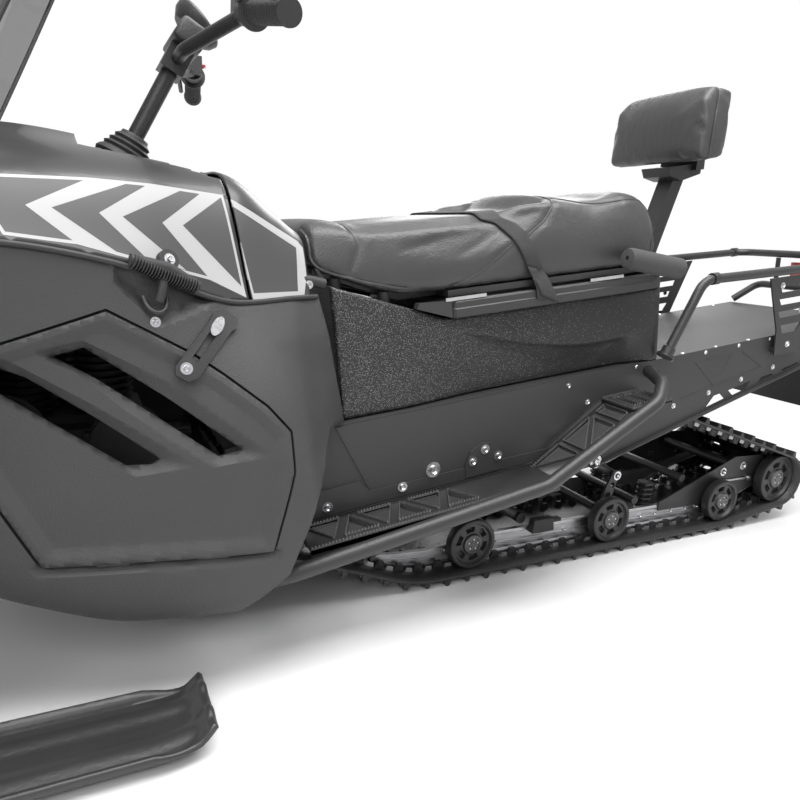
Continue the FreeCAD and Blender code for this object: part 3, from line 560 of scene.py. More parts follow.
def piece(name, bm, body, slot, finishes=None, smooth=40, wall=None, rounding=None, stands_for=()):
    """Turn a bmesh into a finished piece that rides on a body."""
    bmesh.ops.remove_doubles(bm, verts=bm.verts, dist=TOUCHING)
    mesh = bpy.data.meshes.new(name)
    bm.to_mesh(mesh)
    bm.free()
    mesh.polygons.foreach_set("use_smooth", [True] * len(mesh.polygons))
    mesh.set_sharp_from_angle(angle=math.radians(smooth))
    made_piece = bpy.data.objects.new(name, mesh)
    bpy.context.scene.collection.objects.link(made_piece)
    for finish_name in finishes or [slot]:
        mesh.materials.append(made[finish_name])
    if wall:
        thick = made_piece.modifiers.new("wall", "SOLIDIFY")
        thick.thickness, thick.offset = wall * MM, -1
        thick.material_offset = -2  # The inner faces take the first finish.
    if rounding:
        soft = made_piece.modifiers.new("rounding", "BEVEL")
        soft.width, soft.segments, soft.limit_method = rounding * MM, 2, "ANGLE"
        soft.angle_limit = math.radians(35)
    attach(made_piece, body)
    if stands_for:
        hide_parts(*stands_for)
    return made_piece


print(len(STATIONS), "cross-sections from x", SECTION_XS[0], "to", SECTION_XS[-1], "mm")

# %% [markdown]
# ## Lower body
# This is the matte moulding below the dark trim line. Its rear edge sweeps forwards for the rider's
# knees, and each flank has a large opening that the door closes.

# %% Lower body
REAR_SWEEP = [
    (0, 0), (430, 0), (430, 138), (414, 146), (330, 200), (283, 324), (229, 408), (177, 400),
    (212, 537), (237, 632), (237, 700), (0, 700),
]
DOOR = [
    (681, 262), (359, 248), (326, 374), (329, 436), (365, 477), (426, 525), (474, 559), (583, 619),
    (710, 575), (785, 548), (795, 500), (727, 355),
]
FOLD = [(342, 567), (320, 511), (264, 437), (320, 385), (282, 345), (60, 345), (60, 567)]
LATCH_POCKET = [(570, 690), (572, 655), (513, 596), (420, 632), (440, 655), (500, 676)]


def grown(outline, gap):
    """A convex clockwise or anticlockwise outline with every side moved out by gap."""
    middle = Vector((sum(p[0] for p in outline), sum(p[1] for p in outline))) / len(outline)
    lines = []
    for a, b in around(outline):
        a, b = Vector(a), Vector(b)
        normal = Vector((b.y - a.y, a.x - b.x)).normalized()
        if normal.dot(a - middle) < 0:
            normal = -normal
        lines.append((a + normal * gap, b - a))
    corners = []
    for (p, d), (q, e) in zip(lines[-1:] + lines[:-1], lines):
        share = ((q - p).x * e.y - (q - p).y * e.x) / (d.x * e.y - d.y * e.x)
        corners.append(tuple(p + d * share))
    return corners


INSIDE = mm(600, 0, 500)
JAMB, JAMB_SLOPE, DOOR_GAP, DOOR_LAP = 15, 3, 4, 11
HINGE_BEVEL, BEVEL_WIDTH = 10, 12
FOLD_DEPTH, FOLD_SLOPE = 9, 0.16
POCKET_DEPTH, POCKET_SLOPE = 13, 12
ON_THE_LINE = 0.3
opening, jamb_foot = grown(DOOR, DOOR_GAP), grown(DOOR, DOOR_GAP - JAMB_SLOPE)
bevel_edge, hinge_line = grown(DOOR, DOOR_GAP + BEVEL_WIDTH), opening[:2]
lower = hull(KEEL, SEAM, 172, 1192, 128, 66)
carve(lower, REAR_SWEEP)
for outline in (bevel_edge, opening, jamb_foot, LATCH_POCKET, FOLD):
    faces_in(lower, outline)
carve(lower, grown(DOOR, -DOOR_LAP))
for vertex in lower.verts:
    x, z = vertex.co.x / MM, vertex.co.z / MM
    from_edge = edge_distance(opening, x, z)
    if inside(opening, x, z) and from_edge > ON_THE_LINE:
        depth = JAMB * min(1, from_edge / JAMB_SLOPE)
    else:
        depth = HINGE_BEVEL * max(0, 1 - edge_distance(hinge_line, x, z) / BEVEL_WIDTH)
    if inside(FOLD, x, z):
        depth += min(FOLD_DEPTH, FOLD_SLOPE * edge_distance(FOLD, x, z))
    if inside(LATCH_POCKET, x, z):
        depth += POCKET_DEPTH * min(1, edge_distance(LATCH_POCKET, x, z) / POCKET_SLOPE)
    vertex.co.y -= depth * MM
both_sides(lower)
facing(lower, INSIDE)
piece("lower_body_shell", lower, "chassis", "body_matte", wall=4, stands_for=["lower_body"])
print("lower body done")

# %% [markdown]
# ## Side doors
# The door's face is sunk inside a sloping border, and two long slanted vents are cut in it with
# chamfered lips. Both are relief: after the outlines are cut into the mesh, each vertex moves in by an
# amount that depends on its distance from them. The right door is the mirror image.

# %% Doors
VENTS = {
    "upper": (
        [(651, 557), (612, 568), (505, 493), (402, 412), (438, 405), (600, 526)],
        [(680, 564), (613, 580), (497, 514), (357, 402), (449, 392), (560, 478), (625, 537)],
    ),
    "lower": (
        [(722, 545), (685, 529), (597, 466), (521, 406), (532, 399), (566, 399), (722, 512), (738, 530)],
        [(728, 567), (711, 560), (597, 486), (471, 395), (556, 385), (716, 500), (755, 532)],
    ),
}
RIM_FLAT, BORDER, SUNK, LIP_DEPTH = 9, 26, 8, 13


def door(side):
    """A door panel: sunk inside its border, with two lipped vents."""
    bm = hull(KEEL, SEAM, 310, 810, 110, 100)
    carve(bm, DOOR, keep_inside=True)
    faces_in(bm, grown(DOOR, -RIM_FLAT))
    faces_in(bm, grown(DOOR, -BORDER))
    for hole, recess in VENTS.values():
        faces_in(bm, recess)
        carve(bm, hole)
    for vertex in bm.verts:
        x, z = vertex.co.x / MM, vertex.co.z / MM
        edge = edge_distance(DOOR, x, z)
        depth = SUNK * ramp(edge, RIM_FLAT, BORDER)
        for hole, recess in VENTS.values():
            if inside(recess, x, z):
                to_hole, to_rim = edge_distance(hole, x, z), edge_distance(recess, x, z)
                depth += LIP_DEPTH * to_rim / (to_rim + to_hole + 0.01)
        vertex.co.y -= depth * MM
    facing(bm, INSIDE)
    if side == RIGHT:
        to_right(bm)
    name = "door_left" if side == LEFT else "door_right"
    piece(name + "_panel", bm, name, "body_matte", wall=4, stands_for=[name])


for side in (LEFT, RIGHT):
    door(side)
print("doors done")

# %% [markdown]
# ## Hood and tank cover
# The glossy upper body is split across at the rear edge of the hood. White chevrons and a thin frame
# decorate its flanks, a common pattern on such machines. They are cut into the mesh like the outlines,
# and only their faces take the white or grey film, so their edges stay sharp at any distance.

# %% Hood and tank cover
HOOD_SPLIT = [(370, 400), (370, 620), (399, 835), (399, 1200)]
HOOD_SIDE = HOOD_SPLIT + [(1300, 1200), (1300, 400)]
TANK_SIDE = [(x - 6, z) for x, z in HOOD_SPLIT] + [(200, 1200), (200, 400)]
for film_name, tone_value in (("film_white", 0.42), ("film_grey", 0.055)):
    film = Finish(film_name, grey(tone_value), 0.5)
    film.set("Roughness", 0.48 + 0.04 * film.noise(30, 2))
    made[film_name] = film.material
UPPER_FINISHES = ["body_gloss", "film_grey", "film_white"]
GREY_FILM, WHITE_FILM = 1, 2
HOOD_FRAME = [
    (738, 787), (594, 794), (511, 794), (399, 788), (376, 634), (434, 661), (522, 683), (612, 706),
    (696, 714),
]
CHEVRONS = [
    [(670, 752), (593, 793), (540, 792), (640, 751), (559, 694), (612, 706)],
    [(583, 748), (515, 792), (465, 789), (553, 745), (470, 675), (522, 687)],
    [(499, 740), (433, 789), (401, 785), (469, 738), (378, 646), (376, 636), (434, 662)],
]
TANK_FRAME = [(391, 785), (264, 723), (255, 712), (255, 664), (264, 634), (364, 629)]
TANK_FIELD = [(388, 773), (270, 712), (276, 641), (362, 640)]
HOOD_ART = [(HOOD_FRAME, WHITE_FILM), (grown(HOOD_FRAME, -4), GREY_FILM)]
HOOD_ART += [(chevron, WHITE_FILM) for chevron in CHEVRONS]
TANK_ART = [(TANK_FRAME, WHITE_FILM), (TANK_FIELD, GREY_FILM)]


def upper_panel(low_x, high_x, columns, outline, art):
    """A panel of the upper body between two stations, cut to an outline and decorated."""
    bm = hull(SEAM, CREST, low_x, high_x, columns, 52)
    carve(bm, outline, keep_inside=True)
    for shape, finish_index in art:
        for face in faces_in(bm, shape):
            face.material_index = finish_index
    return bm


COCKPIT_FRONT, COCKPIT_REAR, COCKPIT_LOW, COCKPIT_HALF = 600, 392, 815, 190


def over_cockpit(face):
    """True for a face over the open cockpit, which is narrower at its front."""
    x, y, z = face.calc_center_median() / MM
    half = COCKPIT_HALF - 40 * ramp(x, COCKPIT_REAR, COCKPIT_FRONT)
    return x < COCKPIT_FRONT and y < half and z > COCKPIT_LOW


hood = upper_panel(360, 1192, 104, HOOD_SIDE, HOOD_ART)
tank = upper_panel(252, 410, 26, TANK_SIDE, TANK_ART)
LAMP = [(1040, 60), (1130, 34), (1150, 60), (1120, 140), (1040, 158)]
carve(hood, LAMP, plan=True)
bmesh.ops.delete(hood, context="FACES", geom=[f for f in hood.faces if over_cockpit(f)])
for name, bm, body, node in (
    ("hood_shell", hood, "hood", "hood"), ("tank_cover", tank, "chassis", "console"),
):
    both_sides(bm)
    facing(bm, INSIDE)
    piece(name, bm, body, "body_gloss", UPPER_FINISHES, wall=4, stands_for=[node])
print("hood and tank cover done")

# %% [markdown]
# ## Small hardware
# Screws, clips and tubes come back all over the machine. A screw head is a short cone whose top face
# is inset and pushed down for its socket. A tube is a curve with a round bevel, turned into a mesh.

# %% Hardware helpers
def turned(axis):
    """The turn that takes +Z to an axis."""
    return Vector(axis).to_track_quat("Z", "Y").to_matrix().to_4x4()


def add_disc(bm, place, axis, radius, height, top=None, segments=20):
    """A capped cylinder or cone standing on a point; gives its end face."""
    where = Matrix.Translation(place) @ turned(axis) @ Matrix.Translation((0, 0, height / 2))
    made_parts = bmesh.ops.create_cone(
        bm, cap_ends=True, segments=segments, radius1=radius, radius2=radius if top is None else top,
        depth=height, matrix=where,
    )
    faces = {f for v in made_parts["verts"] for f in v.link_faces}
    return max(faces, key=lambda f: (f.calc_center_median() - place).dot(Vector(axis)))


def add_screw(bm, place, axis, radius=6.0):
    """A washer with a button head whose socket is pushed in."""
    add_disc(bm, place, axis, radius * 1.5 * MM, radius * 0.22 * MM)
    head = add_disc(bm, place, axis, radius * MM, radius * 0.75 * MM, radius * 0.72 * MM, 18)
    bm.normal_update()
    bmesh.ops.inset_region(bm, faces=[head], thickness=radius * 0.32 * MM)
    bmesh.ops.translate(bm, verts=head.verts, vec=head.normal * radius * -0.4 * MM)


def one_screw(place, axis, radius):
    """A bmesh with a single screw."""
    bm = bmesh.new()
    add_screw(bm, place, axis, radius)
    return bm


def tube(points, radius, smooth=True, sides=4):
    """A bmesh tube round a curve through control points in metres."""
    curve = bpy.data.curves.new("route", "CURVE")
    curve.dimensions, curve.bevel_depth, curve.bevel_resolution = "3D", radius * MM, sides
    curve.use_fill_caps = True
    spline = curve.splines.new("NURBS" if smooth else "POLY")
    spline.points.add(len(points) - 1)
    for point, co in zip(spline.points, points):
        point.co = (*co, 1)
    if smooth:
        spline.order_u, spline.resolution_u, spline.use_endpoint_u = 3, 6, True
    holder = bpy.data.objects.new("route", curve)
    bm = bmesh.new()
    bm.from_mesh(bpy.data.meshes.new_from_object(holder))
    bpy.data.objects.remove(holder)
    return bm


def joined(parts):
    """Several bmeshes as one."""
    whole = bmesh.new()
    for part in parts:
        mesh = bpy.data.meshes.new("part")
        part.to_mesh(mesh)
        part.free()
        whole.from_mesh(mesh)
    return whole


def made_verts(result):
    """The vertices among what an operator made."""
    return [item for item in result["geom"] if isinstance(item, bmesh.types.BMVert)]


def plate(outline, low, high, frame_of=mm):
    """A side-view outline with a thickness from y = low to y = high, in either frame."""
    bm = bmesh.new()
    face = bm.faces.new([bm.verts.new(Vector((x, low, z))) for x, z in outline])
    far_side = made_verts(bmesh.ops.extrude_face_region(bm, geom=[face]))
    bmesh.ops.translate(bm, verts=far_side, vec=(0, high - low, 0))
    for vertex in bm.verts:
        vertex.co = frame_of(*vertex.co)
    bmesh.ops.recalc_face_normals(bm, faces=bm.faces)
    return bm


def mirrored_copy(bm):
    """The same part on the machine's right, added to the left one."""
    return joined([bm, to_right(bm.copy())])


def mirrored_piece(name, left, *place_and_slot, **more):
    """A left part and its mirror image, finished as one piece."""
    return piece(name, mirrored_copy(left), *place_and_slot, **more)


guide = joined([hull(KEEL, SEAM, 200, 1180, 100, 50), hull(SEAM, CREST, 200, 1180, 100, 40)])
flank = BVHTree.FromBMesh(guide)
guide.free()


def on_flank(x, z, out=0.0):
    """A point on the hull's left flank, moved out by a distance in millimetres, and the normal there."""
    spot, normal, _, _ = flank.ray_cast(mm(x, 800, z), -LEFTWARDS)
    normal = normal if normal.y > 0 else -normal
    return spot + normal * out * MM, normal


def flank_run(points):
    """The places of (x, z, out) points on the flank."""
    return [on_flank(*point)[0] for point in points]


print("flank at the door's middle:", [round(v, 3) for v in on_flank(550, 420)[0]])

# %% [markdown]
# ## Trim line and fasteners of the body
# A rubber bead closes the joint between the hood and the lower body. The hood is held by a rubber
# T-handle with a steel hook, and the door by a slotted rubber strap that hangs over a steel plate.

# %% Rubber bead along the seam
seam_run = [(x, *section(x, SEAM, SEAM)[0]) for x in range(240, 1181, 40)]
bead_points = [mm(x, y + 1.5, z - 2) for x, y, z in seam_run]
mirrored_piece("seam_bead", tube(bead_points, 4.2), "chassis", "flap_rubber")
print("bead points:", len(bead_points))

# %% T-handle and hook on each side
RIBS = 24
handle_run = flank_run([(552, 684, 9), (506, 672, 14), (461, 648, 9)])
along_bar = (handle_run[2] - handle_run[0]).normalized()
ear, ear_normal = on_flank(501, 685, 4)
handle_discs = bmesh.new()
for k in range(1, RIBS):
    spot = handle_run[0].lerp(handle_run[2], k / RIBS) + mm(0, 3.5, -0.5)
    add_disc(handle_discs, spot - along_bar * 0.8 * MM, along_bar, 10.8 * MM, 1.6 * MM)
add_disc(handle_discs, ear, ear_normal, 15 * MM, 10 * MM)
neck = tube(flank_run([(506, 684, 8), (508, 655, 12), (514, 632, 4)]), 7)
handle = joined([tube(handle_run, 9.5, smooth=False), handle_discs, neck])
mirrored_piece("latch_handles", handle, "hood", "grip_rubber")

hooks = tube(flank_run([(533, 640, -4), (532, 626, 2), (518, 614, 7), (502, 622, 2), (500, 636, -4)]), 3.2)
mirrored_piece("latch_hooks", hooks, "chassis", "steel_black")
screws = one_screw(*on_flank(519, 604, -1), 5)
mirrored_piece("latch_screws", screws, "chassis", "bright_steel")
ear_screw = one_screw(ear + ear_normal * 10 * MM, ear_normal, 5.5)
mirrored_piece("latch_ear_screws", ear_screw, "hood", "bright_steel")
print("handles and hooks done")

# %% Door straps
STRAP_OUTLINE = [
    (421, 618), (399, 602), (402, 588), (411, 585), (466, 524), (481, 520), (497, 530), (497, 542),
    (442, 604), (437, 612),
]
STRAP_SLOT = [(424, 593), (433, 600), (474, 552), (466, 545)]
OVAL_AT, OVAL_LONG, OVAL_SHORT = Vector((433, 593)), Vector((9.3, -11.7)), Vector((-6.63, -5.27))
OVAL_TURNS = [math.tau * k / 20 for k in range(20)]
BOLT_OVAL = [OVAL_AT + OVAL_LONG * math.cos(t) + OVAL_SHORT * math.sin(t) for t in OVAL_TURNS]


def strap_slab(outline, hole, low, high):
    """A flat shape laid over the flank with a thickness."""
    bm = bmesh.new()
    edges = []
    for loop in (outline, hole or []):
        edges += [bm.edges.new(ends) for ends in around([bm.verts.new((x, 0, z)) for x, z in loop])]
    bmesh.ops.triangle_fill(bm, edges=edges, use_beauty=True)
    bmesh.ops.recalc_face_normals(bm, faces=bm.faces)
    risen = set(made_verts(bmesh.ops.extrude_face_region(bm, geom=bm.faces[:])))
    for vertex in bm.verts:
        vertex.co = on_flank(vertex.co.x, vertex.co.z, high if vertex in risen else low)[0]
    facing(bm, INSIDE)
    return bm


for side, body in ((LEFT, "door_left"), (RIGHT, "door_right")):
    metal = joined([one_screw(*on_flank(482, 538, 6.5), 6), strap_slab(BOLT_OVAL, None, 6.5, 8.5)])
    rubber = strap_slab(STRAP_OUTLINE, STRAP_SLOT, 1, 7)
    if side == RIGHT:
        metal, rubber = to_right(metal), to_right(rubber)
    piece(body + "_strap", rubber, body, "flap_rubber")
    piece(body + "_strap_metal", metal, body, "bright_steel")
print("door straps done")

# %% [markdown]
# ## Padded seat and backrest
# Upholstery is foam under a sewn vinyl cover. A block with the seat's outline is remeshed into even
# cells, then inflated a little as cloth, with its seams pinned, so the panels swell between them. Foam
# that has been sat on is flatter than that on top, so the top is then lowered to its side profile. The
# welts and stitched seams come last, as tubes laid along grooves pressed into the surface.

# %% Inflating a pad
def settled(obj):
    """The object's mesh with its modifiers applied."""
    depsgraph = bpy.context.evaluated_depsgraph_get()
    return bpy.data.meshes.new_from_object(obj.evaluated_get(depsgraph))


def voxel_block(bm, size):
    """A closed bmesh remeshed into even cells."""
    holder = bpy.data.objects.new("block", bpy.data.meshes.new("block"))
    bm.to_mesh(holder.data)
    bm.free()
    bpy.context.scene.collection.objects.link(holder)
    even = holder.modifiers.new("even", "REMESH")
    even.mode, even.voxel_size = "VOXEL", size
    mesh = settled(holder)
    bpy.data.objects.remove(holder)
    fresh = bmesh.new()
    fresh.from_mesh(mesh)
    return fresh


PRESSURE, FRAMES = 4.0, 20
PINNED = GROOVE = 6 * MM


def inflated(bm, held, cap):
    """Swell a closed bmesh as cloth for some frames; held vertices stay, and cap limits the travel."""
    holder = bpy.data.objects.new("cloth", bpy.data.meshes.new("cloth"))
    bm.to_mesh(holder.data)
    rest = [v.co.copy() for v in bm.verts]
    bm.free()
    scene = bpy.context.scene
    scene.collection.objects.link(holder)
    pins = holder.vertex_groups.new(name="held")
    pins.add([i for i, co in enumerate(rest) if held(co)], 1.0, "REPLACE")
    cloth = holder.modifiers.new("cloth", "CLOTH")
    cloth.settings.use_pressure, cloth.settings.uniform_pressure_force = True, PRESSURE
    cloth.settings.effector_weights.gravity = 0
    cloth.settings.vertex_group_mass = "held"
    cloth.settings.quality = 4
    cloth.point_cache.frame_start, cloth.point_cache.frame_end = 1, FRAMES
    for frame_number in range(1, FRAMES + 1):
        scene.frame_set(frame_number)
    mesh = settled(holder)
    bpy.data.objects.remove(holder)
    scene.frame_set(1)
    fresh = bmesh.new()
    fresh.from_mesh(mesh)
    for vertex, start in zip(fresh.verts, rest):
        travel = vertex.co - start
        if travel.length > cap:
            vertex.co = start + travel.normalized() * cap
    return fresh


def relaxed(bm, rounds, verts=None):
    """Even out the bumps of a bmesh, round after round."""
    for _ in range(rounds):
        bmesh.ops.smooth_vert(
            bm, verts=verts or bm.verts, factor=0.5, use_axis_x=True, use_axis_y=True, use_axis_z=True
        )


def near_tree(spots):
    """A tree that finds the nearest of some spots."""
    tree = KDTree(len(spots))
    for i, spot in enumerate(spots):
        tree.insert(spot, i)
    tree.balance()
    return tree


def dense(points):
    """Points every few millimetres on the straight runs between the given ones."""
    run = [points[0]]
    for a, b in zip(points, points[1:]):
        count = max(1, round((b - a).length / (6 * MM)))
        run += [a.lerp(b, (i + 1) / count) for i in range(count)]
    return run


def both_ways(points):
    """Deck points of a line on the left, and the same line on the right."""
    return [points, [(a, -y, w) for a, y, w in points]]


def settle_on(skin, point, core):
    """Where the line from outside a padded body towards its core, through a point, meets the skin."""
    aim = point - core
    spot, normal, _, _ = skin.ray_cast(core + aim * 2.5, -aim)
    return (spot, normal) if spot else skin.find_nearest(point)[:2]


def seat_core(point):
    """The point deep in the seat that a point on its cover is pressed towards."""
    along, across, _ = in_deck(point)
    return deck(max(-560, min(150, along)), 0.4 * across, 285)


def laid(points, skin, core=seat_core):
    """A line of deck points settled on a skin: surface points and their normals."""
    return [settle_on(skin, p, core(p)) for p in dense([deck(*q) for q in points])]


def press_lines(bm, lines, width, depth):
    """Press a groove along lines already laid on the surface."""
    tree = near_tree([spot for line in lines for spot, _ in line])
    bm.normal_update()
    moves = []
    for vertex in bm.verts:
        distance = tree.find(vertex.co)[2]
        if distance < width * 3:
            moves.append((vertex, vertex.normal * -depth * math.exp(-((distance / width) ** 2))))
    for vertex, move in moves:
        vertex.co += move


def welts(lines, radius, lift):
    """Thin tubes lying along the laid lines."""
    runs = [[spot + normal * lift * MM for spot, normal in line[::3] + line[-1:]] for line in lines]
    return joined([tube(run, radius, sides=2) for run in runs])


def finer(obj):
    """One level of subdivision on a finished pad."""
    level = obj.modifiers.new("finer", "SUBSURF")
    level.levels = level.render_levels = 1


print("pads will be", "inflated")

# %% Seat
SEAT_SIDE = [
    (200, 300), (199, 352), (192, 368), (175, 372), (147, 368), (111, 359), (79, 355), (-100, 356),
    (-214, 358), (-232, 371), (-256, 387), (-332, 388), (-384, 381), (-430, 372), (-458, 373),
    (-494, 380), (-536, 384), (-584, 380), (-602, 362), (-606, 330), (-612, 262), (-600, 222),
    (20, 222), (100, 246), (190, 284),
]
SEAT_SEAMS = [line for left_line in (
    [(137, 186, 258), (121, 190, 288), (110, 192, 312), (104, 192, 332), (110, 184, 350), (112, 150, 358),
     (112, 0, 360)],
    [(-80, 206, 224), (-108, 208, 234), (-155, 208, 260), (-212, 206, 296)],
    [(-236, 204, 300), (-262, 204, 318), (-300, 200, 340), (-330, 182, 366), (-345, 150, 384),
     (-350, 0, 390)],
    [(-345, 150, 384), (-430, 162, 372), (-460, 172, 368), (-500, 180, 370), (-584, 178, 374)],
    [(-584, 178, 374), (-600, 190, 340), (-602, 196, 300), (-590, 200, 250), (-584, 200, 226)],
) for line in both_ways(left_line)]
NOSE_WELT = both_ways([
    (196, 120, 362), (198, 160, 350), (200, 170, 330), (200, 172, 302), (188, 176, 286), (100, 192, 250),
    (22, 204, 228),
])
HALF_BLOCK = 196


def seat_half_width(along):
    """The cover narrows towards the nose and a little at the rear corners."""
    nose = ramp(along, -40, 200)
    tail = ramp(-along, 540, 612)
    return 206 - 40 * nose ** 1.3 - 12 * tail


block_side = [(a * 0.99 - 2, 221 + (w - 222) * 0.985) for a, w in SEAT_SIDE]
seat = voxel_block(plate(block_side, -HALF_BLOCK, HALF_BLOCK, deck), 7 * MM)
for vertex in seat.verts:
    a, y, w = in_deck(vertex.co)
    share = y / HALF_BLOCK
    high, tuck = ramp(w, 285, 370), 1 - ramp(w, 222, 248)
    width = seat_half_width(a) - 1 - 22 * high ** 1.5 - 12 * tuck ** 2
    hollow = 8 * math.exp(-(((a - 20) / 120) ** 2)) * ramp(w, 262, 310) * (1 - high)
    crown = 3 - 20 * ramp(abs(share), 0.62, 1.0) ** 2
    vertex.co = deck(a, share * (width - hollow), w + crown * high)
relaxed(seat, 7)
skin = BVHTree.FromBMesh(seat)
pins = near_tree([spot for line in SEAT_SEAMS + NOSE_WELT for spot, _ in laid(line, skin)])
seat = inflated(seat, lambda co: pins.find(co)[2] < PINNED or in_deck(co)[2] < 230, 22 * MM)
print("seat foam:", len(seat.verts), "vertices")

# %% The seat's top as it is sat on
TOP_SIDE = SEAT_SIDE[18:1:-1]
TOP_ALONG, TOP_ABOVE = [a for a, _ in TOP_SIDE], [w for _, w in TOP_SIDE]


def sat_on(a, y):
    """The height the used foam keeps: flat across in front, with the passenger's step set back."""
    out = min(1, abs(y) / 150)
    step_back = (60 + 40 * out ** 2) * ramp(a, -520, -400) * ramp(-a, 150, 214)
    height = eased(TOP_ALONG, TOP_ABOVE, max(TOP_ALONG[0], min(TOP_ALONG[-1], a + step_back)))
    return height + 1 - 8 * out ** 2 * ramp(-a, 214, 300) + 60 * ramp(abs(y), 125, 185) ** 2


for vertex in seat.verts:
    a, y, w = in_deck(vertex.co)
    over = w - sat_on(a, y)
    if w > 335 and over > 0:
        vertex.co = deck(a, y, w - over + 2 * (1 - math.exp(-over / 4)))
relaxed(seat, 3, [v for v in seat.verts if in_deck(v.co)[2] > 330])
print("seat top at the middle:", round(sat_on(0, 0)), "mm above the deck")

# %% Seams, cover and welts
skin = BVHTree.FromBMesh(seat)
press_lines(seat, [laid(line, skin) for line in SEAT_SEAMS + NOSE_WELT], GROOVE, 3.5 * MM)
skin = BVHTree.FromBMesh(seat)
seams, nose = ([laid(line, skin) for line in lines] for lines in (SEAT_SEAMS, NOSE_WELT))
bmesh.ops.recalc_face_normals(seat, faces=seat.faces)
seat_skin = BVHTree.FromBMesh(seat)
cover = piece("seat_cover", seat, "seat", "seat_vinyl", smooth=180, stands_for=["seat"])
finer(cover)
piece("seat_welts", joined([welts(seams, 1.7, 0.4), welts(nose, 3.2, 1.5)]), "seat", "seat_vinyl")
print("seat:", len(cover.data.vertices), "vertices")

# %% Strap over the seat
def ribbon(centres, width, across, lift, hanging):
    """A woven strap along deck points, laid on the seat except where it hangs free."""
    points = [deck(*c) for c in centres]
    spans = [(b - a).length for a, b in zip(points, points[1:])]
    total = sum(spans)
    bm = grid(round(total / (8 * MM)), 6)
    uv = bm.loops.layers.uv.new("weave")
    for face in bm.faces:
        for loop in face.loops:
            loop[uv].uv = (loop.vert.co.x * total, loop.vert.co.y * width * MM)
    for vertex in bm.verts:
        left, i = vertex.co.x * total, 0
        while i < len(spans) - 1 and left > spans[i]:
            left -= spans[i]
            i += 1
        share = min(1, left / spans[i])
        centre = points[i].lerp(points[i + 1], share)
        lean = across[i] + (across[i + 1] - across[i]) * share
        side_step = ALONG * math.cos(lean) + ABOVE * math.sin(lean)
        guess = centre + side_step * (vertex.co.y - 0.5) * width * MM
        spot, normal = settle_on(seat_skin, guess, seat_core(guess))
        free = hanging(in_deck(guess)[2])
        vertex.co = (spot + normal * lift * MM).lerp(guess, free)
    return bm


STRAP_LINE = [
    (-186, 0, 366), (-186, 120, 364), (-188, 180, 356), (-212, 197, 345), (-234, 205, 306), (-256, 208, 262),
    (-272, 212, 228), (-284, 218, 200), (-292, 218.5, 180),
]
STRAP_LEAN = [0, 0, 0.06, 0.22, 0.32, 0.36, 0.38, 0.40, 0.42]


def free_below(w):
    """0 where the strap lies on the seat and 1 below the seat's edge."""
    return 1 - ramp(w, 222, 236)


strap = ribbon(STRAP_LINE, 48, STRAP_LEAN, 2.2, free_below)
mirrored_piece("seat_strap", strap, "seat", "strap_webbing", smooth=60, wall=2.2)
TAIL_LINE = [(-252, 210.5, 248), (-262, 213, 226), (-270, 216, 205), (-272, 217, 180)]
tail = ribbon(TAIL_LINE, 22, [0.3] * 4, 1.2, lambda w: 1)
mirrored_piece("seat_strap_tail", tail, "seat", "strap_webbing", smooth=60, wall=1.8)
print("strap done")

# %% [markdown]
# ## Storage box
# The box under the seat is a deep moulding with a fine grain and glossy flecks painted light as glints. Its
# flank leans out to a long curved crease and is undercut below it, flat at the front, with rounded rear
# corners. One sheet of quads runs from the front's middle, along the flank and round the corner to the rear's
# middle.

# %% Storage box
BOX_PLAN = [(172, 0), (172, 186), (166, 190), (-596, 213), (-612, 208), (-622, 194), (-622, 0)]
CREASE_BEHIND = [-60, 40, 84, 165, 250, 355, 423, 524, 600]
CREASE_ABOVE = [168, 153, 142, 119, 94, 74, 69, 72, 84]
BOX_FOOT, BOX_MOUTH = 3, 168
LEAN, UNDERCUT, UNDERCUT_REACH = 0.22, 25, 24


def box_top(along):
    """The side's upper edge, which drops from the front to the rim."""
    return BOX_MOUTH + 86 * max(0, along + 58) / 230


def box_bow(a, w, top):
    """How far the flank stands out: leaning in above the crease, and undercut below it."""
    over = w - eased(CREASE_BEHIND, CREASE_ABOVE, max(-60, min(600, -a)))
    lean = -LEAN * over if over > 0 else -UNDERCUT * (1 - math.exp(over / UNDERCUT_REACH)) - 0.02 * over
    return ramp(-a, -30, 170) * (1 - ramp(-a, 505, 590)) * (lean - 1) - 2.5 * ramp(w, top - 8, top)


def along_plan(plan, share):
    """A point a share of the way along a plan's runs."""
    runs = [math.dist(p, q) for p, q in zip(plan, plan[1:])]
    left = share * sum(runs)
    for (p, q), run in zip(zip(plan, plan[1:]), runs):
        if left <= run or q == plan[-1]:
            t = min(1, left / run)
            return p[0] + (q[0] - p[0]) * t, p[1] + (q[1] - p[1]) * t
        left -= run


box_bm = grid(190, 44)
for vertex in box_bm.verts:
    a, y = along_plan(BOX_PLAN, vertex.co.x)
    top = box_top(a)
    w = BOX_FOOT + (top - BOX_FOOT) * vertex.co.y
    bow = box_bow(a, w, top) if -598 < a < 160 and y > 180 else 0
    vertex.co = deck(a, y + bow, w)
both_sides(box_bm)
facing(box_bm, deck(-200, 0, 90))
piece("storage_box_shell", box_bm, "chassis", "box_plastic", smooth=50, wall=4, stands_for=["storage_box"])
box_floor = plate([(164, 5), (-616, 5), (-616, 9), (164, 9)], -182, 182, deck)
piece("storage_box_floor", box_floor, "chassis", "box_plastic")
print("storage box done")

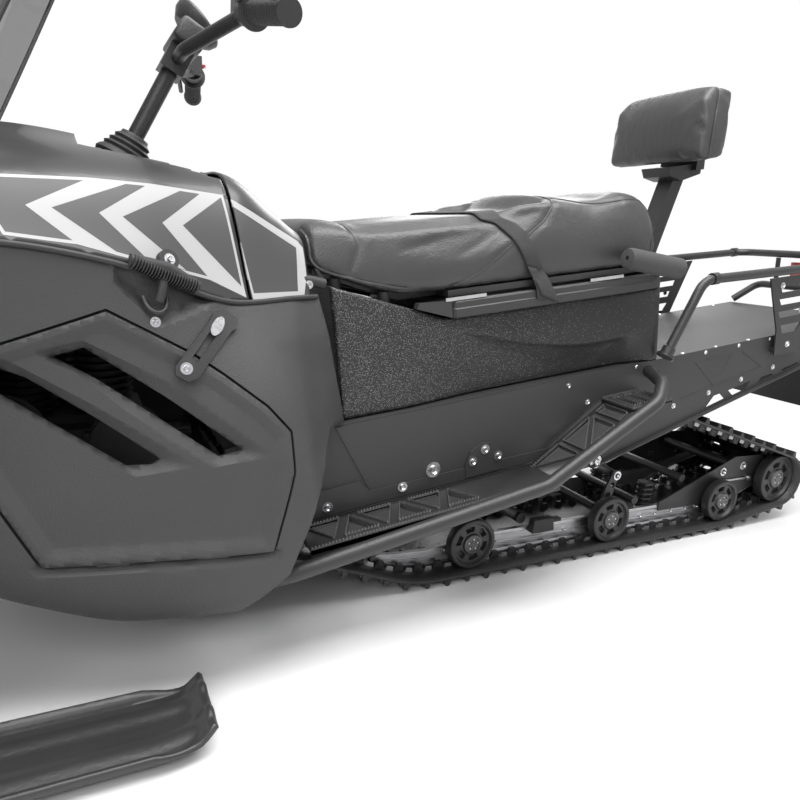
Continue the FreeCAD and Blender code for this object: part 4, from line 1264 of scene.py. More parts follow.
# %% Two-step lip round the box's mouth
RIM_PLAN = [(-66, 0), (-66, 206), (-72, 214), (-590, 214), (-612, 206), (-622, 188), (-622, 0)]
RIM_MIDDLE = -344
RIM_STEPS = [
    (0, 168.5), (1.5, 170), (2, 186), (0.2, 188), (0, 199), (-3, 203), (-12, 203), (-14, 199), (-16, 168.5),
]
rim = grid(160, len(RIM_STEPS) - 1)
for vertex in rim.verts:
    a, y = along_plan(RIM_PLAN, vertex.co.x)
    out, w = RIM_STEPS[round(vertex.co.y * (len(RIM_STEPS) - 1))]
    end_share = ramp(abs(a - RIM_MIDDLE), 250, 278) * (1 if a > RIM_MIDDLE else -1)
    vertex.co = deck(a + out * end_share, y + out * ramp(y, 180, 214), w)
both_sides(rim)
facing(rim, deck(RIM_MIDDLE, 150, 60))
wedge = mirrored_copy(plate([(-64, 203), (-64, 170), (12, 196), (8, 206)], 196, 212, deck))
piece("rim_lip", joined([rim, wedge]), "chassis", "rim_plastic", smooth=35, stands_for=["seat_rim"])
print("rim done")

# %% [markdown]
# ## Backrest and grips
# The backrest cushion is a small crowned pad with a welt round its face. The passenger's grips are
# foam tubes with a rounded cap and a hole in the middle of the cap.

# %% Backrest cushion
PAD_SIDE = [(-772, 444), (-790, 433), (-858, 438), (-892, 604), (-826, 614), (-790, 580)]
PAD_MIDDLE, PAD_HALF, PAD_SHRINK = Vector((-828, 524)), 153, 0.93
FACE_HALF = [(-806, 140, 440), (-816, 148, 520), (-846, 138, 604)]
face_right = [(a, -y, w) for a, y, w in reversed(FACE_HALF)]
FACE_RING = face_right[-1:] + FACE_HALF + face_right


def pad_core(point):
    """The point deep in the backrest that a point on its cover is pressed towards."""
    return deck(PAD_MIDDLE.x, 0.8 * in_deck(point)[1], 522)


block_side = [tuple(PAD_MIDDLE + (Vector(p) - PAD_MIDDLE) * PAD_SHRINK) for p in PAD_SIDE]
pad = voxel_block(plate(block_side, -PAD_HALF, PAD_HALF, deck), 6 * MM)
for vertex in pad.verts:
    a, y, w = in_deck(vertex.co)
    share = abs(y) / PAD_HALF
    narrow = 1 - 0.10 * ramp(w, 520, 610) * share ** 2
    crown = 6 * (1 - share ** 2) * ramp(a, -828, -790)
    vertex.co = deck(a + crown, y * narrow, w - 8 * share ** 4 * ramp(w, 560, 610))
relaxed(pad, 8)
pins = near_tree([spot for spot, _ in laid(FACE_RING, BVHTree.FromBMesh(pad), pad_core)])
pad = inflated(pad, lambda co: pins.find(co)[2] < PINNED, 14 * MM)
press_lines(pad, [laid(FACE_RING, BVHTree.FromBMesh(pad), pad_core)], GROOVE, 3 * MM)
face_line = laid(FACE_RING, BVHTree.FromBMesh(pad), pad_core)
bmesh.ops.recalc_face_normals(pad, faces=pad.faces)
cushion = piece("backrest_cushion", pad, "chassis", "seat_vinyl", smooth=180, stands_for=["backrest_pad"])
finer(cushion)
piece("backrest_welt", welts([face_line], 2.6, 1.0), "chassis", "seat_vinyl")
print("backrest done")

# %% Foam grips
GRIP_CAP, GRIP_TOWARDS, GRIP_LENGTH = Vector((-475, 243, 248)), Vector((-655, 243, 204)), 158
CAP_RINGS = [(140, 23), (152, 22.4), (157, 20), (158, 16), (158, 5), (146, 4.5)]
grip_foot = GRIP_CAP + (GRIP_TOWARDS - GRIP_CAP).normalized() * GRIP_LENGTH
grip_parts = []
for side in (LEFT, RIGHT):
    cap_end, foot = (deck(p.x, side * p.y, p.z) for p in (GRIP_CAP, grip_foot))
    axis = (foot - cap_end).normalized()
    foam_part = bmesh.new()
    ring_place = Matrix.Translation(foot) @ turned(-axis)
    bmesh.ops.create_circle(foam_part, segments=40, radius=23 * MM, matrix=ring_place)
    loop = foam_part.edges[:]
    for step, radius in CAP_RINGS:
        grow = bmesh.ops.extrude_edge_only(foam_part, edges=loop)
        loop = [e for e in grow["geom"] if isinstance(e, bmesh.types.BMEdge)]
        for vertex in made_verts(grow):
            offset = vertex.co - foot
            offset -= axis * offset.dot(axis)
            vertex.co = foot - axis * step * MM + offset.normalized() * radius * MM
    bmesh.ops.holes_fill(foam_part, edges=loop)
    bmesh.ops.holes_fill(foam_part, edges=[e for e in foam_part.edges if e.is_boundary])
    bmesh.ops.recalc_face_normals(foam_part, faces=foam_part.faces)
    grip_parts.append(foam_part)
grips = piece("grip_foam_tubes", joined(grip_parts), "chassis", "grip_foam", stands_for=["passenger_grips"])
print("grips done")

# %% [markdown]
# ## Round and blocky parts of the running gear
# Most parts of the undercarriage are either spun about an axis or set along a path. A lathe spins a
# profile of distances and radii, and a block stands on a small frame of its own, so that the same few
# lines make wheels, hubs, lugs and clips.

# %% Lathe and blocks
def lathe(start, axis, profile, steps=32):
    """A round body: (distance along the axis, radius) pairs in millimetres spun about the axis."""
    bm = bmesh.new()
    axis = Vector(axis).normalized()
    side = axis.orthogonal().normalized()
    points = [bm.verts.new(start + (axis * s + side * r) * MM) for s, r in profile]
    edges = [bm.edges.new(ends) for ends in zip(points, points[1:])]
    bmesh.ops.spin(
        bm, geom=points + edges, cent=start, axis=axis, angle=math.tau, steps=steps, use_merge=True
    )
    bmesh.ops.remove_doubles(bm, verts=bm.verts, dist=TOUCHING)
    bmesh.ops.recalc_face_normals(bm, faces=bm.faces)
    return bm


def add_block(bm, base, size, taper=1.0):
    """A block standing on a base's origin; its top is shorter along the first axis by the taper."""
    for vertex in bmesh.ops.create_cube(bm, size=1.0)["verts"]:
        x, y, z = vertex.co
        share = taper if z > 0 else 1.0
        vertex.co = base @ mm(x * size[0] * share, y * size[1], (z + 0.5) * size[2])


def repeated(start, unit, pitch, count, end):
    """A lathe's profile with a unit repeated at a pitch between its start and its end."""
    return start + [(s + k * pitch, r) for k in range(count) for s, r in unit] + end


def on_axes(place, along, out):
    """A block's base at a place, its first axis along and its third axis out."""
    across = out.cross(along)
    return Matrix.Translation(place) @ Matrix((along, across, out)).transposed().to_4x4()


def lerp_line(points, x):
    """The height of a line of (x, z) points at x."""
    points = sorted(points)
    for (xa, za), (xb, zb) in zip(points, points[1:]):
        if x <= xb:
            return za + (zb - za) * max(0, x - xa) / (xb - xa)
    return points[-1][1]


def coil(start, end, radius, wire, turns):
    """A spring's wire wound about the line between two points."""
    axis = (end - start).normalized()
    side = axis.orthogonal().normalized()
    other = axis.cross(side)
    count = round(turns * 14)
    points = []
    for i in range(count + 1):
        angle = math.tau * turns * i / count
        arm = side * math.cos(angle) + other * math.sin(angle)
        points.append(start.lerp(end, i / count) + arm * radius * MM)
    return tube(points, wire, smooth=False, sides=2)


print("lathe ready")

# %% [markdown]
# ## Track
# The belt is one sheet wrapped round the wheels: arcs on the wheels and straight runs between them,
# walked at an even pitch. Each pitch gets tapered lugs outside, tall and low by turns, small guide
# lugs inside, a row of openings in the belt and bright clips where the rails slide.

# %% Belt, lugs and clips
TRACK_CIRCLES = [
    (-1200.5, 121.2, 70.2), (-979.1, 79.1, 58.6), (-66, 320.5, 300), (300, 228, 80), (-546, 361, 45),
]
BELT, PITCH, PER_PITCH = 6, 50.5, 6


def belt_route(offset):
    """The belt's line at an offset from the wheels, as closely spaced points."""
    turns, route = [], []
    for (x0, z0, r0), (x1, z1, r1) in around(TRACK_CIRCLES):
        dx, dz = x1 - x0, z1 - z0
        gap = math.hypot(dx, dz)
        c = (r0 - r1) / gap
        s = math.sqrt(1 - c * c)
        turns.append(((dx * c + dz * s) / gap, (dz * c - dx * s) / gap))
    for i, (x, z, r) in enumerate(TRACK_CIRCLES):
        (ax, az), (bx, bz) = turns[i - 1], turns[i]
        angle = math.atan2(ax * bz - az * bx, ax * bx + az * bz)
        count = max(1, math.ceil(abs(angle) * (r + offset) / 6))
        for k in range(count + 1):
            t = math.atan2(az, ax) + angle * k / count
            route.append(Vector((x + (r + offset) * math.cos(t), 0, z + (r + offset) * math.sin(t))))
    return route


def even_stations(route, count):
    """Evenly spaced (point, direction, outward normal) round a closed route."""
    runs = [(b - a).length for a, b in around(route)]
    step, stations, i, passed = sum(runs) / count, [], 0, 0.0
    for k in range(count):
        while passed + runs[i] < k * step:
            passed += runs[i]
            i += 1
        a, b = route[i], route[(i + 1) % len(route)]
        stations.append(a.lerp(b, (k * step - passed) / runs[i]))
    result = []
    for k, point in enumerate(stations):
        along = (stations[(k + 1) % count] - stations[k - 1]).normalized()
        result.append((point * MM, along, Vector((along.z, 0, -along.x))))
    return result


outer_line = belt_route(BELT)
belt_length = sum((b - a).length for a, b in around(outer_line))
pitches = round(belt_length / PITCH / 2) * 2
line = even_stations(outer_line, pitches * PER_PITCH)
ROWS_Y, WINDOW_ROWS = [-195.5, -150, -112, -84, -40, 0, 40, 84, 112, 150, 195.5], (84, 112)
belt = grid(len(line), len(ROWS_Y) - 1)
for vertex in belt.verts:
    point = line[round(vertex.co.x * len(line)) % len(line)][0]
    vertex.co = point + mm(0, ROWS_Y[round(vertex.co.y * (len(ROWS_Y) - 1))], 0)


def in_window(face):
    """True for the faces between two rows beside the rail that each pitch leaves open."""
    middle = face.calc_center_median()
    if not WINDOW_ROWS[0] < abs(middle.y / MM) < WINDOW_ROWS[1]:
        return False
    k = min(range(len(line)), key=lambda i: (line[i][0].x - middle.x) ** 2 + (line[i][0].z - middle.z) ** 2)
    return k % PER_PITCH in (2, 3)


bmesh.ops.delete(belt, geom=[f for f in belt.faces if in_window(f)], context="FACES")
facing(belt, mm(-400, 0, 180))
piece("track_belt", belt, "chassis", "track_rubber", wall=BELT, stands_for=["track"])

TALL_LUGS, TALL_SIZE = ((-194, -74), (-62, 62), (74, 194)), (19, 15.5)
LOW_LUGS, LOW_SIZE = ((-194, -104), (-90, 90), (104, 194)), (16, 13)
lugs, guides, clips = bmesh.new(), bmesh.new(), bmesh.new()
for k in range(pitches):
    point, along, out = line[k * PER_PITCH]
    spans, (thick, height) = (TALL_LUGS, TALL_SIZE) if k % 2 == 0 else (LOW_LUGS, LOW_SIZE)
    root, inner = point - out * MM, point - out * (BELT - 1) * MM
    for low, high in spans:
        spot = root + mm(0, (low + high) / 2, 0)
        add_block(lugs, on_axes(spot, along, out), (thick, high - low, height), 0.4)
    for y in (-187, -130, -30, 30, 130, 187):
        add_block(lugs, on_axes(root + along * 6 * MM + mm(0, y, 0), along, out), (22, 7, 8), 0.5)
    for y in (-141, -109, -66, 66, 109, 141):
        add_block(guides, on_axes(inner + mm(0, y, 0), along, -out), (26, 9, 17), 0.5)
    middle, along, out = line[k * PER_PITCH + PER_PITCH // 2]
    for side in (LEFT, RIGHT):
        for y, wide, height in ((130.5, 31, 0.45), (115, 2, 8), (146, 2, 9)):
            spot = middle - out * BELT * MM + mm(0, side * y, 0)
            add_block(clips, on_axes(spot, along, -out), (19, wide, height), 0.8)
for name, bm, slot_name in (
    ("track_lugs", lugs, "track_rubber"), ("track_guides", guides, "track_rubber"),
    ("track_clips", clips, "rail_aluminium"),
):
    piece(name, bm, "chassis", slot_name, smooth=30)
print("belt:", round(belt_length), "mm,", pitches, "pitches")

# %% [markdown]
# ## Wheels, rails and springs
# A road wheel is a rubber ring on a dished web with six kidney-shaped recesses, a raised hub and a
# ring of small bolts. The rails are an extruded section with flanges and a rib, swept between their
# lower and upper lines, on a black slider strip. The rubber buffers at the seat's nose are short tubes
# with a bolt, like the rails' fittings, so they are made next to them.

# %% Road wheels
grained("hub_cap", grey(0.045), grey(0.07), 0.28, 0.1, 200, 0.0003, coat=0.3)
WHEEL_FACE, RIDE_HEIGHT = 175, 79.4
WHEEL_FINISHES = ["wheel_rubber", "rim_plastic", "hub_cap"]


def road_wheel(x, z, radius, width):
    """A wheel whose outer face is turned to the machine's left."""
    start, inwards = mm(x, WHEEL_FACE, z), -LEFTWARDS
    profile = [
        (0.5, 0), (0.5, 0.1 * radius), (2, 0.12 * radius), (2, 0.27 * radius), (0, 0.29 * radius),
        (0, 0.34 * radius), (1, 0.38 * radius), (6, 0.42 * radius), (7, 0.48 * radius),
        (7, 0.70 * radius), (7, radius - 13), (3, radius - 11), (0, radius - 9.5), (0, radius - 3),
        (1.5, radius - 0.8), (4, radius), (width - 4, radius), (width - 1.5, radius - 0.8),
        (width, radius - 3), (width, radius - 9), (width - 6, radius - 12), (width - 6, 0.4 * radius),
        (width, 0.3 * radius), (width, 0),
    ]
    bm = lathe(start, inwards, profile, 48)
    recess = []
    for face in bm.faces:
        offset = face.calc_center_median() - start
        depth = offset.dot(inwards) / MM
        reach = (offset - inwards * offset.dot(inwards)).length / MM
        is_cap = reach < 0.36 * radius and depth < 5
        face.material_index = 0 if reach > radius - 10.5 else 2 if is_cap else 1
        turn = math.degrees(math.atan2(offset.z, offset.x)) % 60
        if 0.48 * radius < reach < 0.7 * radius and 6 < depth < 8 and turn < 38:
            recess.append(face)
    bmesh.ops.inset_region(bm, faces=recess, thickness=1.2 * MM)
    sunk_verts = {v for f in recess for v in f.verts}
    bmesh.ops.translate(bm, verts=list(sunk_verts), vec=inwards * 10 * MM)
    return bm


bolts = bmesh.new()
ROAD_WHEELS = [(x, RIDE_HEIGHT, 58.6, 26) for x in (-160.9, -571.9, -979.1)] + [(-546, 361, 44.5, 26)]
IDLER, WHEEL_BOLTS = (-1200.5, 121.2, 69.7, 30), 5
for x, z, radius, width in ROAD_WHEELS + [IDLER]:
    for k in range(WHEEL_BOLTS):
        turn, reach = math.tau * (k + 0.3) / WHEEL_BOLTS, 0.2 * radius
        spot = mm(x + reach * math.cos(turn), WHEEL_FACE - 2, z + reach * math.sin(turn))
        add_disc(bolts, spot, LEFTWARDS, 2.2 * MM, 1.6 * MM, 1.8 * MM, 8)
for name, wheels, node in (
    ("bogie_wheel_set", ROAD_WHEELS, "bogie_wheels"), ("rear_idler_set", [IDLER], "rear_idlers"),
):
    wheel_set = joined([road_wheel(*wheel) for wheel in wheels])
    mirrored_piece(name, wheel_set, "chassis", "wheel_rubber", WHEEL_FINISHES, smooth=30, stands_for=[node])
mirrored_piece("wheel_bolts", bolts, "chassis", "bright_steel")
print("wheels done")

# %% Rails, sliders and fittings
RAIL_LOW = [(-1226, 104), (-1130, 84), (-1060, 62), (-960, 21.5), (-66, 21.5), (0, 30), (40, 42), (68, 55)]
RAIL_HIGH = [(-1226, 138), (-1000, 79), (-240, 79), (-60, 61), (20, 65), (56, 71), (68, 58)]
RAIL_SECTION = [
    (119, 0), (131, 0), (131, 0.13), (127, 0.2), (127, 0.40), (128.6, 0.43), (128.6, 0.50), (127, 0.53),
    (127, 0.80), (131, 0.86), (131, 1), (119, 1), (119, 0.86), (123, 0.8), (123, 0.2), (119, 0.13),
    (119, 0),
]
SLIDER_SECTION = [(117, 0), (133, 0), (133, 1), (117, 1), (117, 0)]


def rail_sweep(low_line, high_line, outline, x_low, x_high, columns):
    """A closed section of (y, share of height) pairs swept between two lines along X."""
    bm = grid(columns, len(outline) - 1)
    for vertex in bm.verts:
        x = x_low + (x_high - x_low) * vertex.co.x
        y, share = outline[round(vertex.co.y * (len(outline) - 1))]
        low, high = lerp_line(low_line, x), lerp_line(high_line, x)
        vertex.co = mm(x, y, low + (high - low) * share)
    bmesh.ops.remove_doubles(bm, verts=bm.verts, dist=TOUCHING)
    bmesh.ops.holes_fill(bm, edges=[e for e in bm.edges if e.is_boundary])
    bmesh.ops.recalc_face_normals(bm, faces=bm.faces)
    return bm


rails = rail_sweep(RAIL_LOW, RAIL_HIGH, RAIL_SECTION, -1226, 68, 130)
mirrored_piece("slide_rail_pair", rails, "chassis", "rail_aluminium", smooth=25, stands_for=["slide_rails"])
slider_low, slider_high = ([(x, z + rise) for x, z in RAIL_LOW[3:]] for rise in (-0.4, 5))
slider = rail_sweep(slider_low, slider_high, SLIDER_SECTION, -960, 66, 60)
mirrored_piece("slider_strips", slider, "chassis", "rim_plastic", smooth=30)
rail_blocks = bmesh.new()
add_block(rail_blocks, Matrix.Translation(mm(-374, 142, 68)), (66, 22, 34), 0.86)
add_block(rail_blocks, Matrix.Translation(mm(-430, 125, 79)), (30, 16, 10), 0.8)
mirrored_piece("rail_bump_stops", rail_blocks, "chassis", "grip_rubber", rounding=2)
fittings = bmesh.new()
for x in (-718, -770, -830, -884, -931, -460, -250, -110):
    add_screw(fittings, mm(x, 127, 54), LEFTWARDS, 5)
for x, y, z in ((-614, 129, 179), (-570, 129, 100), (-1010, 135, 150), (-1090, 135, 160)):
    add_screw(fittings, mm(x, y, z), LEFTWARDS, 8)
fitting_parts = [fittings, tube([mm(-1000, 137, 122), mm(-1130, 137, 122)], 4.5, smooth=False)]
for x in (-1008, -1022, -1122):
    fitting_parts.append(lathe(mm(x, 137, 122), FORWARDS, [(0, 0), (0, 9), (8, 9), (8, 0)], 6))
mirrored_piece("rail_fittings", joined(fitting_parts), "chassis", "bright_steel", smooth=30)
print("rails done")

# %% Rubber buffers at the seat's nose
buffer = tube([mm(264, 203, 659), mm(240, 203, 656), mm(220, 202, 652)], 9.5, smooth=False)
mirrored_piece("nose_buffers", buffer, "chassis", "grip_rubber")
buffer_bolt = one_screw(mm(252, 212.5, 651), LEFTWARDS, 5)
mirrored_piece("nose_buffer_bolts", buffer_bolt, "chassis", "bright_steel")
print("buffers done")

# %% Springs and dampers
SHOCK_FOOT, SHOCK_TOP = mm(-350, 0, 118), mm(-586, 0, 214)
SHOCK_BODY = [
    (0, 0), (0, 16), (16, 16), (17, 28), (22, 28), (23, 19), (150, 19), (152, 9), (252, 9), (254, 0),
]
REAR_BODY = [(-3, 0), (-3, 23), (2, 23), (3, 12), (80, 12), (81, 22), (85, 22), (85, 0)]
shock = [
    coil(SHOCK_FOOT.lerp(SHOCK_TOP, 0.08), SHOCK_FOOT.lerp(SHOCK_TOP, 0.72), 26, 4.2, 7),
    lathe(SHOCK_FOOT, (SHOCK_TOP - SHOCK_FOOT).normalized(), SHOCK_BODY, 24),
]
for side in (LEFT, RIGHT):
    foot, top = mm(-756, side * 92, 48), mm(-762, side * 92, 130)
    shock += [coil(foot, top, 20, 3.6, 6), lathe(foot, top - foot, REAR_BODY, 24)]
piece("skid_springs", joined(shock), "chassis", "steel_black", smooth=35, stands_for=["springs"])
print("springs done")

# %% [markdown]
# ## Running boards
# The boards are pressed sheet with triangular openings for snow to fall through. The edges of the
# openings and the board's outer edge are cut to rows of teeth for grip. The outlines are filled
# with triangles, given a thickness, and a toothed strip is raised along every edge.

# %% Toothed boards, ramps and steps
BOARD_TOP, BOARD_NEAR, BOARD_FAR, STEP_TOP = -176, 216, 322, -64
TOOTH, TOOTH_HIGH, TOOTH_LOW = 6.5, 7.5, 2.0


def toothed(outline, holes, place, skirt, toothed_sides):
    """A plate with holes, a skirt down round it and teeth up along its edges; place maps (a, y, v)."""
    sheet = bmesh.new()
    edges = []
    for loop in [outline] + holes:
        edges += [sheet.edges.new(ends) for ends in around([sheet.verts.new((x, y, 0)) for x, y in loop])]
    bmesh.ops.triangle_fill(sheet, edges=edges, use_beauty=True)
    bmesh.ops.recalc_face_normals(sheet, faces=sheet.faces)
    if sum(f.normal.z for f in sheet.faces) < 0:
        bmesh.ops.reverse_faces(sheet, faces=sheet.faces)
    for vertex in sheet.verts:
        vertex.co = place(vertex.co.x, vertex.co.y, 0)
    strips = bmesh.new()
    runs = [run for loop in holes for run in around(loop)]
    runs += [(outline[i], outline[(i + 1) % len(outline)]) for i in toothed_sides]
    for (xa, ya), (xb, yb) in runs:
        count = max(2, round(math.hypot(xb - xa, yb - ya) / TOOTH) * 2)
        last = None
        for k in range(count + 1):
            t = k / count
            x, y = xa + (xb - xa) * t, ya + (yb - ya) * t
            high = TOOTH_LOW if k % 2 == 0 else TOOTH_HIGH
            pair_of = [strips.verts.new(place(x, y, v)) for v in (-skirt, high)]
            if last:
                strips.faces.new((last[0], pair_of[0], pair_of[1], last[1]))
            last = pair_of
    return sheet, strips


BOARD = [(-240, BOARD_NEAR), (300, BOARD_NEAR), (300, BOARD_FAR), (-240, BOARD_FAR)]
TRIANGLES = []
for i in range(6):
    a = 290 - i * 54
    base, tip = (BOARD_NEAR + 17, BOARD_FAR - 20) if i % 2 == 0 else (BOARD_FAR - 17, BOARD_NEAR + 20)
    TRIANGLES.append([(a - 6, base), (a - 76, base), (a - 41, tip)])
RAMP_TURN = math.radians(27.5)


def on_ramp(u, y, v):
    """A point given along the ramp, across it and above it."""
    return deck(-226 + u * math.cos(RAMP_TURN) + v * math.sin(RAMP_TURN), y,
                -185 - u * math.sin(RAMP_TURN) + v * math.cos(RAMP_TURN))


RAMP = [(-250, 216), (10, 216), (10, 316), (-250, 316)]
SLOTS = [
    [(-10, 230), (-92, 230), (-92, 300)], [(-24, 304), (-2, 304), (-80, 306)],
    [(-108, 230), (-190, 230), (-108, 302)], [(-122, 306), (-196, 306), (-196, 240)],
    [(-212, 230), (-238, 230), (-238, 302), (-212, 302)],
]
STEP = [(-552, 216), (-440, 216), (-440, 316), (-552, 316)]
STEP_HOLES = [[(a, 232), (a - 22, 232), (a - 22, 300), (a, 300)] for a in (-455, -490, -525)]
sheets, strips = [], []
for outline, holes, place, skirt, sides in (
    (BOARD, TRIANGLES, lambda a, y, v: deck(a, y, BOARD_TOP + v), 9, [2]),
    (RAMP, SLOTS, on_ramp, 9, [2]),
    (STEP, STEP_HOLES, lambda a, y, v: deck(a, y, STEP_TOP + v), 8, [0, 1, 2]),
):
    sheet, strip = toothed(outline, holes, place, skirt, sides)
    sheets.append(sheet)
    strips.append(strip)
edge_plates = [
    plate([(-240, -200), (300, -200), (300, -173), (-240, -173)], 216, 219, deck),
    plate([(-240, -198), (300, -198), (300, -176), (-240, -176)], 319, 322, deck),
]
mirrored_piece("board_sheets", joined(sheets), "chassis", "steel_black", smooth=20, wall=3,
               stands_for=["running_boards"])
mirrored_piece("board_teeth", joined(strips), "chassis", "steel_sheet", smooth=20, wall=1.6)
mirrored_piece("board_flanges", joined(edge_plates), "chassis", "steel_black", smooth=20)
print("boards done")

# %% [markdown]
# ## Tunnel and rack hardware
# Bolts and rivets hold the sheet parts together, so they show where one plate lies on another. The
# beads pressed in the tunnel's side are half-round ridges. Lathed collars and stops sit where the rack
# and the seat meet the frame.

# %% Bolts, rivets and pressed ridges
screws = bmesh.new()
for a, w in ((228, -155), (69, -152), (-95, -135), (-126, -115), (-158, -136)):
    add_screw(screws, deck(a, 217.5 if w > -140 else 215, w), LEFTWARDS, 7)
for a, w in ((-405, -65), (-350, -18), (-673, -126), (-621, -64), (-792, -114), (-908, -99), (-1027, -86)):
    add_screw(screws, deck(a, 210, w), LEFTWARDS, 4.5)
for a in (-589, -700, -813, -930, -1047, -1165, -1283):
    for spot, out in ((deck(a, 204, 0), ABOVE), (deck(a + 40, 210, -8), LEFTWARDS)):
        add_disc(screws, spot, out, 5 * MM, 1.6 * MM, 3.5 * MM, 12)
for a, y, w in ((-1050, 227, -25), (-1090, 227, 60), (-1010, 227, 130), (-1130, 227, 130)):
    add_screw(screws, deck(a, y, w), LEFTWARDS, 5.5)
for x, z in ((-453, 261), (-20, 286)):
    add_screw(screws, mm(x, 213, z), LEFTWARDS, 11)
mirrored_piece("tunnel_fasteners", screws, "chassis", "bright_steel", smooth=30)

RIDGES = [
    [(-739, -27), (-806, -96)], [(-873, -26), (-826, -79)], [(-907, -27), (-982, -77)],
    [(-1038, -27), (-1005, -60)], [(-779, -26), (-873, -28)], [(-697, -112), (-801, -99), (-978, -78)],
    [(-331, 0), (-337, -25), (-394, -90)],
]
ridge_parts = [tube([deck(a, 210, w) for a, w in run], 1.6, smooth=False, sides=2) for run in RIDGES]
PATCH = [(-78, -140), (-91, -114), (-118, -100), (-143, -103), (-165, -121), (-164, -168), (-78, -168)]
ridge_parts.append(plate(PATCH, 212, 217.5, deck))
mirrored_piece("tunnel_ridges", joined(ridge_parts), "chassis", "steel_sheet", smooth=30)
print("bolts and ridges done")

# %% Collars, shelf, skirt and stops
FOOT_COLLAR = [(-2, 0), (-2, 20), (4, 20), (5, 15), (22, 15), (24, 12), (24, 0)]
RAIL_COLLAR = [(-9, 11), (-9, 14), (9, 14), (9, 11)]
collars = []
for side in (LEFT, RIGHT):
    foot = deck(-612, side * 233, 12)
    rise = (deck(-728, side * 230, 174) - foot).normalized()
    collars.append(lathe(foot, rise, FOOT_COLLAR, 28))
    for a, w in ((-760, 174), (-1395, 158.4)):
        collars.append(lathe(deck(a, side * 230, w), ALONG, RAIL_COLLAR, 28))
piece("rack_collars", joined(collars), "chassis", "steel_black", smooth=35)
shelf = plate([(172, 248), (20, 191), (-58, 161), (-58, 167), (18, 197), (172, 254)], -184, 184, deck)
piece("storage_box_shelf", shelf, "chassis", "box_plastic")
skirt = plate([(190, 286), (184, 286), (168, 257), (174, 257)], -164, 164, deck)
piece("seat_front_skirt", skirt, "seat", "rim_plastic")
stops = [lathe(deck(a, side * y, w), ABOVE, [(0, 0), (0, 11), (20, 11), (22, 9), (22, 0)], 24)
         for side in (LEFT, RIGHT) for a, y, w in ((150, 150, 244), (60, 168, 210))]
piece("seat_stops", joined(stops), "chassis", "grip_rubber", smooth=35)
print("hardware done")

# %% [markdown]
# ## Handlebar
# The bar turns about a raked stem, so its parts are placed in a frame tilted with the stem. The grips
# are ribbed, with a flange inside, and a bracket on each side carries its lever. A round gauge stands
# on the clamp's cover.

# %% Grips, levers and bar cover
STEM_TILT = math.radians(28)


def steer(x, y, z):
    """A point given in the frame of the steering stem."""
    return mm(505 + x * math.cos(STEM_TILT) - z * math.sin(STEM_TILT), y,
              880 + x * math.sin(STEM_TILT) + z * math.cos(STEM_TILT))


GRIP_FLANGE, GRIP_END = [(0, 11), (0, 25), (3, 25), (4, 17)], [(114, 19), (119, 19), (119.5, 0)]
GRIP_PROFILE = repeated(GRIP_FLANGE, [(6, 17), (7, 15.6), (10, 15.6), (11, 17)], 8, 13, GRIP_END)
LEVER = [(-40, 238, 216), (-16, 262, 216), (-34, 330, 209), (-52, 384, 201)]
CLAMP, BUTTON = [(0, 11), (0, 19), (20, 19), (20, 11)], [(0, 0), (0, 7), (5, 7), (6, 5), (6, 0)]
grip_parts, lever_parts, button_parts = [], [], []
for side in (LEFT, RIGHT):
    start, end = steer(-51, side * 258, 213.6), steer(-78.5, side * 374, 202)
    outwards = (end - start).normalized()
    lever = [steer(x, side * y, z) for x, y, z in LEVER]
    pod = bmesh.new()
    add_block(pod, on_axes(steer(-48, side * 214, 206), LEFTWARDS, UPWARDS), (34, 30, 34), 0.8)
    grip_parts.append(lathe(start, outwards, GRIP_PROFILE, 28))
    lever_parts += [lathe(start - outwards * 30 * MM, outwards, CLAMP, 24), tube(lever, 5, sides=3), pod]
    button_parts.append(lathe(steer(-58, side * 214, 228), ABOVE, BUTTON, 20))
piece("ribbed_grips", joined(grip_parts), "handlebar", "grip_rubber", smooth=30, stands_for=["bar_grips"])
piece("levers", joined(lever_parts), "handlebar", "steel_black", smooth=40)
piece("bar_buttons", joined(button_parts), "handlebar", "tail_lens", smooth=40)
bar_cover = bmesh.new()
stem_up = (steer(0, 0, 1) - steer(0, 0, 0)).normalized()
stem_ahead = (steer(1, 0, 0) - steer(0, 0, 0)).normalized()
add_block(bar_cover, on_axes(steer(0, 0, 170.5), stem_ahead, stem_up), (52, 140, 41), 0.86)
piece("bar_cover", bar_cover, "handlebar", "rim_plastic", smooth=180, rounding=7, stands_for=["bar_pad"])
print("bars done")

# %% Gauge
GAUGE = [(0, 0), (0, 30), (14, 42), (26, 45), (30, 43), (30, 39), (26, 38), (26, 0)]
gauge_foot, gauge_axis = steer(4, 0, 206), (stem_up - stem_ahead * 0.35).normalized()
piece("gauge_pod", lathe(gauge_foot, gauge_axis, GAUGE, 48), "handlebar", "rim_plastic", smooth=30)
ticks = bmesh.new()
for k in range(11):
    turn = math.radians(-40 + 26 * k)
    spoke = LEFTWARDS * math.cos(turn) + gauge_axis.cross(LEFTWARDS) * math.sin(turn)
    spot = gauge_foot + (gauge_axis * 26.2 + spoke * 31) * MM
    add_block(ticks, on_axes(spot, spoke, gauge_axis), (7 if k % 2 else 4, 1.4, 0.5))
piece("gauge_ticks", ticks, "handlebar", "rim_plastic", ["film_white"])
print("gauge done")

# %% [markdown]
# ## Cockpit tray and gaiter
# Under the bar the hood is open, so a dark tray closes it a little below the hood's own surface, and a
# pleated rubber gaiter seals the stem. Both stay with the chassis when the hood opens. The gaiter is a
# lathed profile of folds, and the tray reads its height from the hull's cross-sections.

# %% Tray under the bar, gaiter round the stem and the tank's back wall
TRAY_DROP = 15


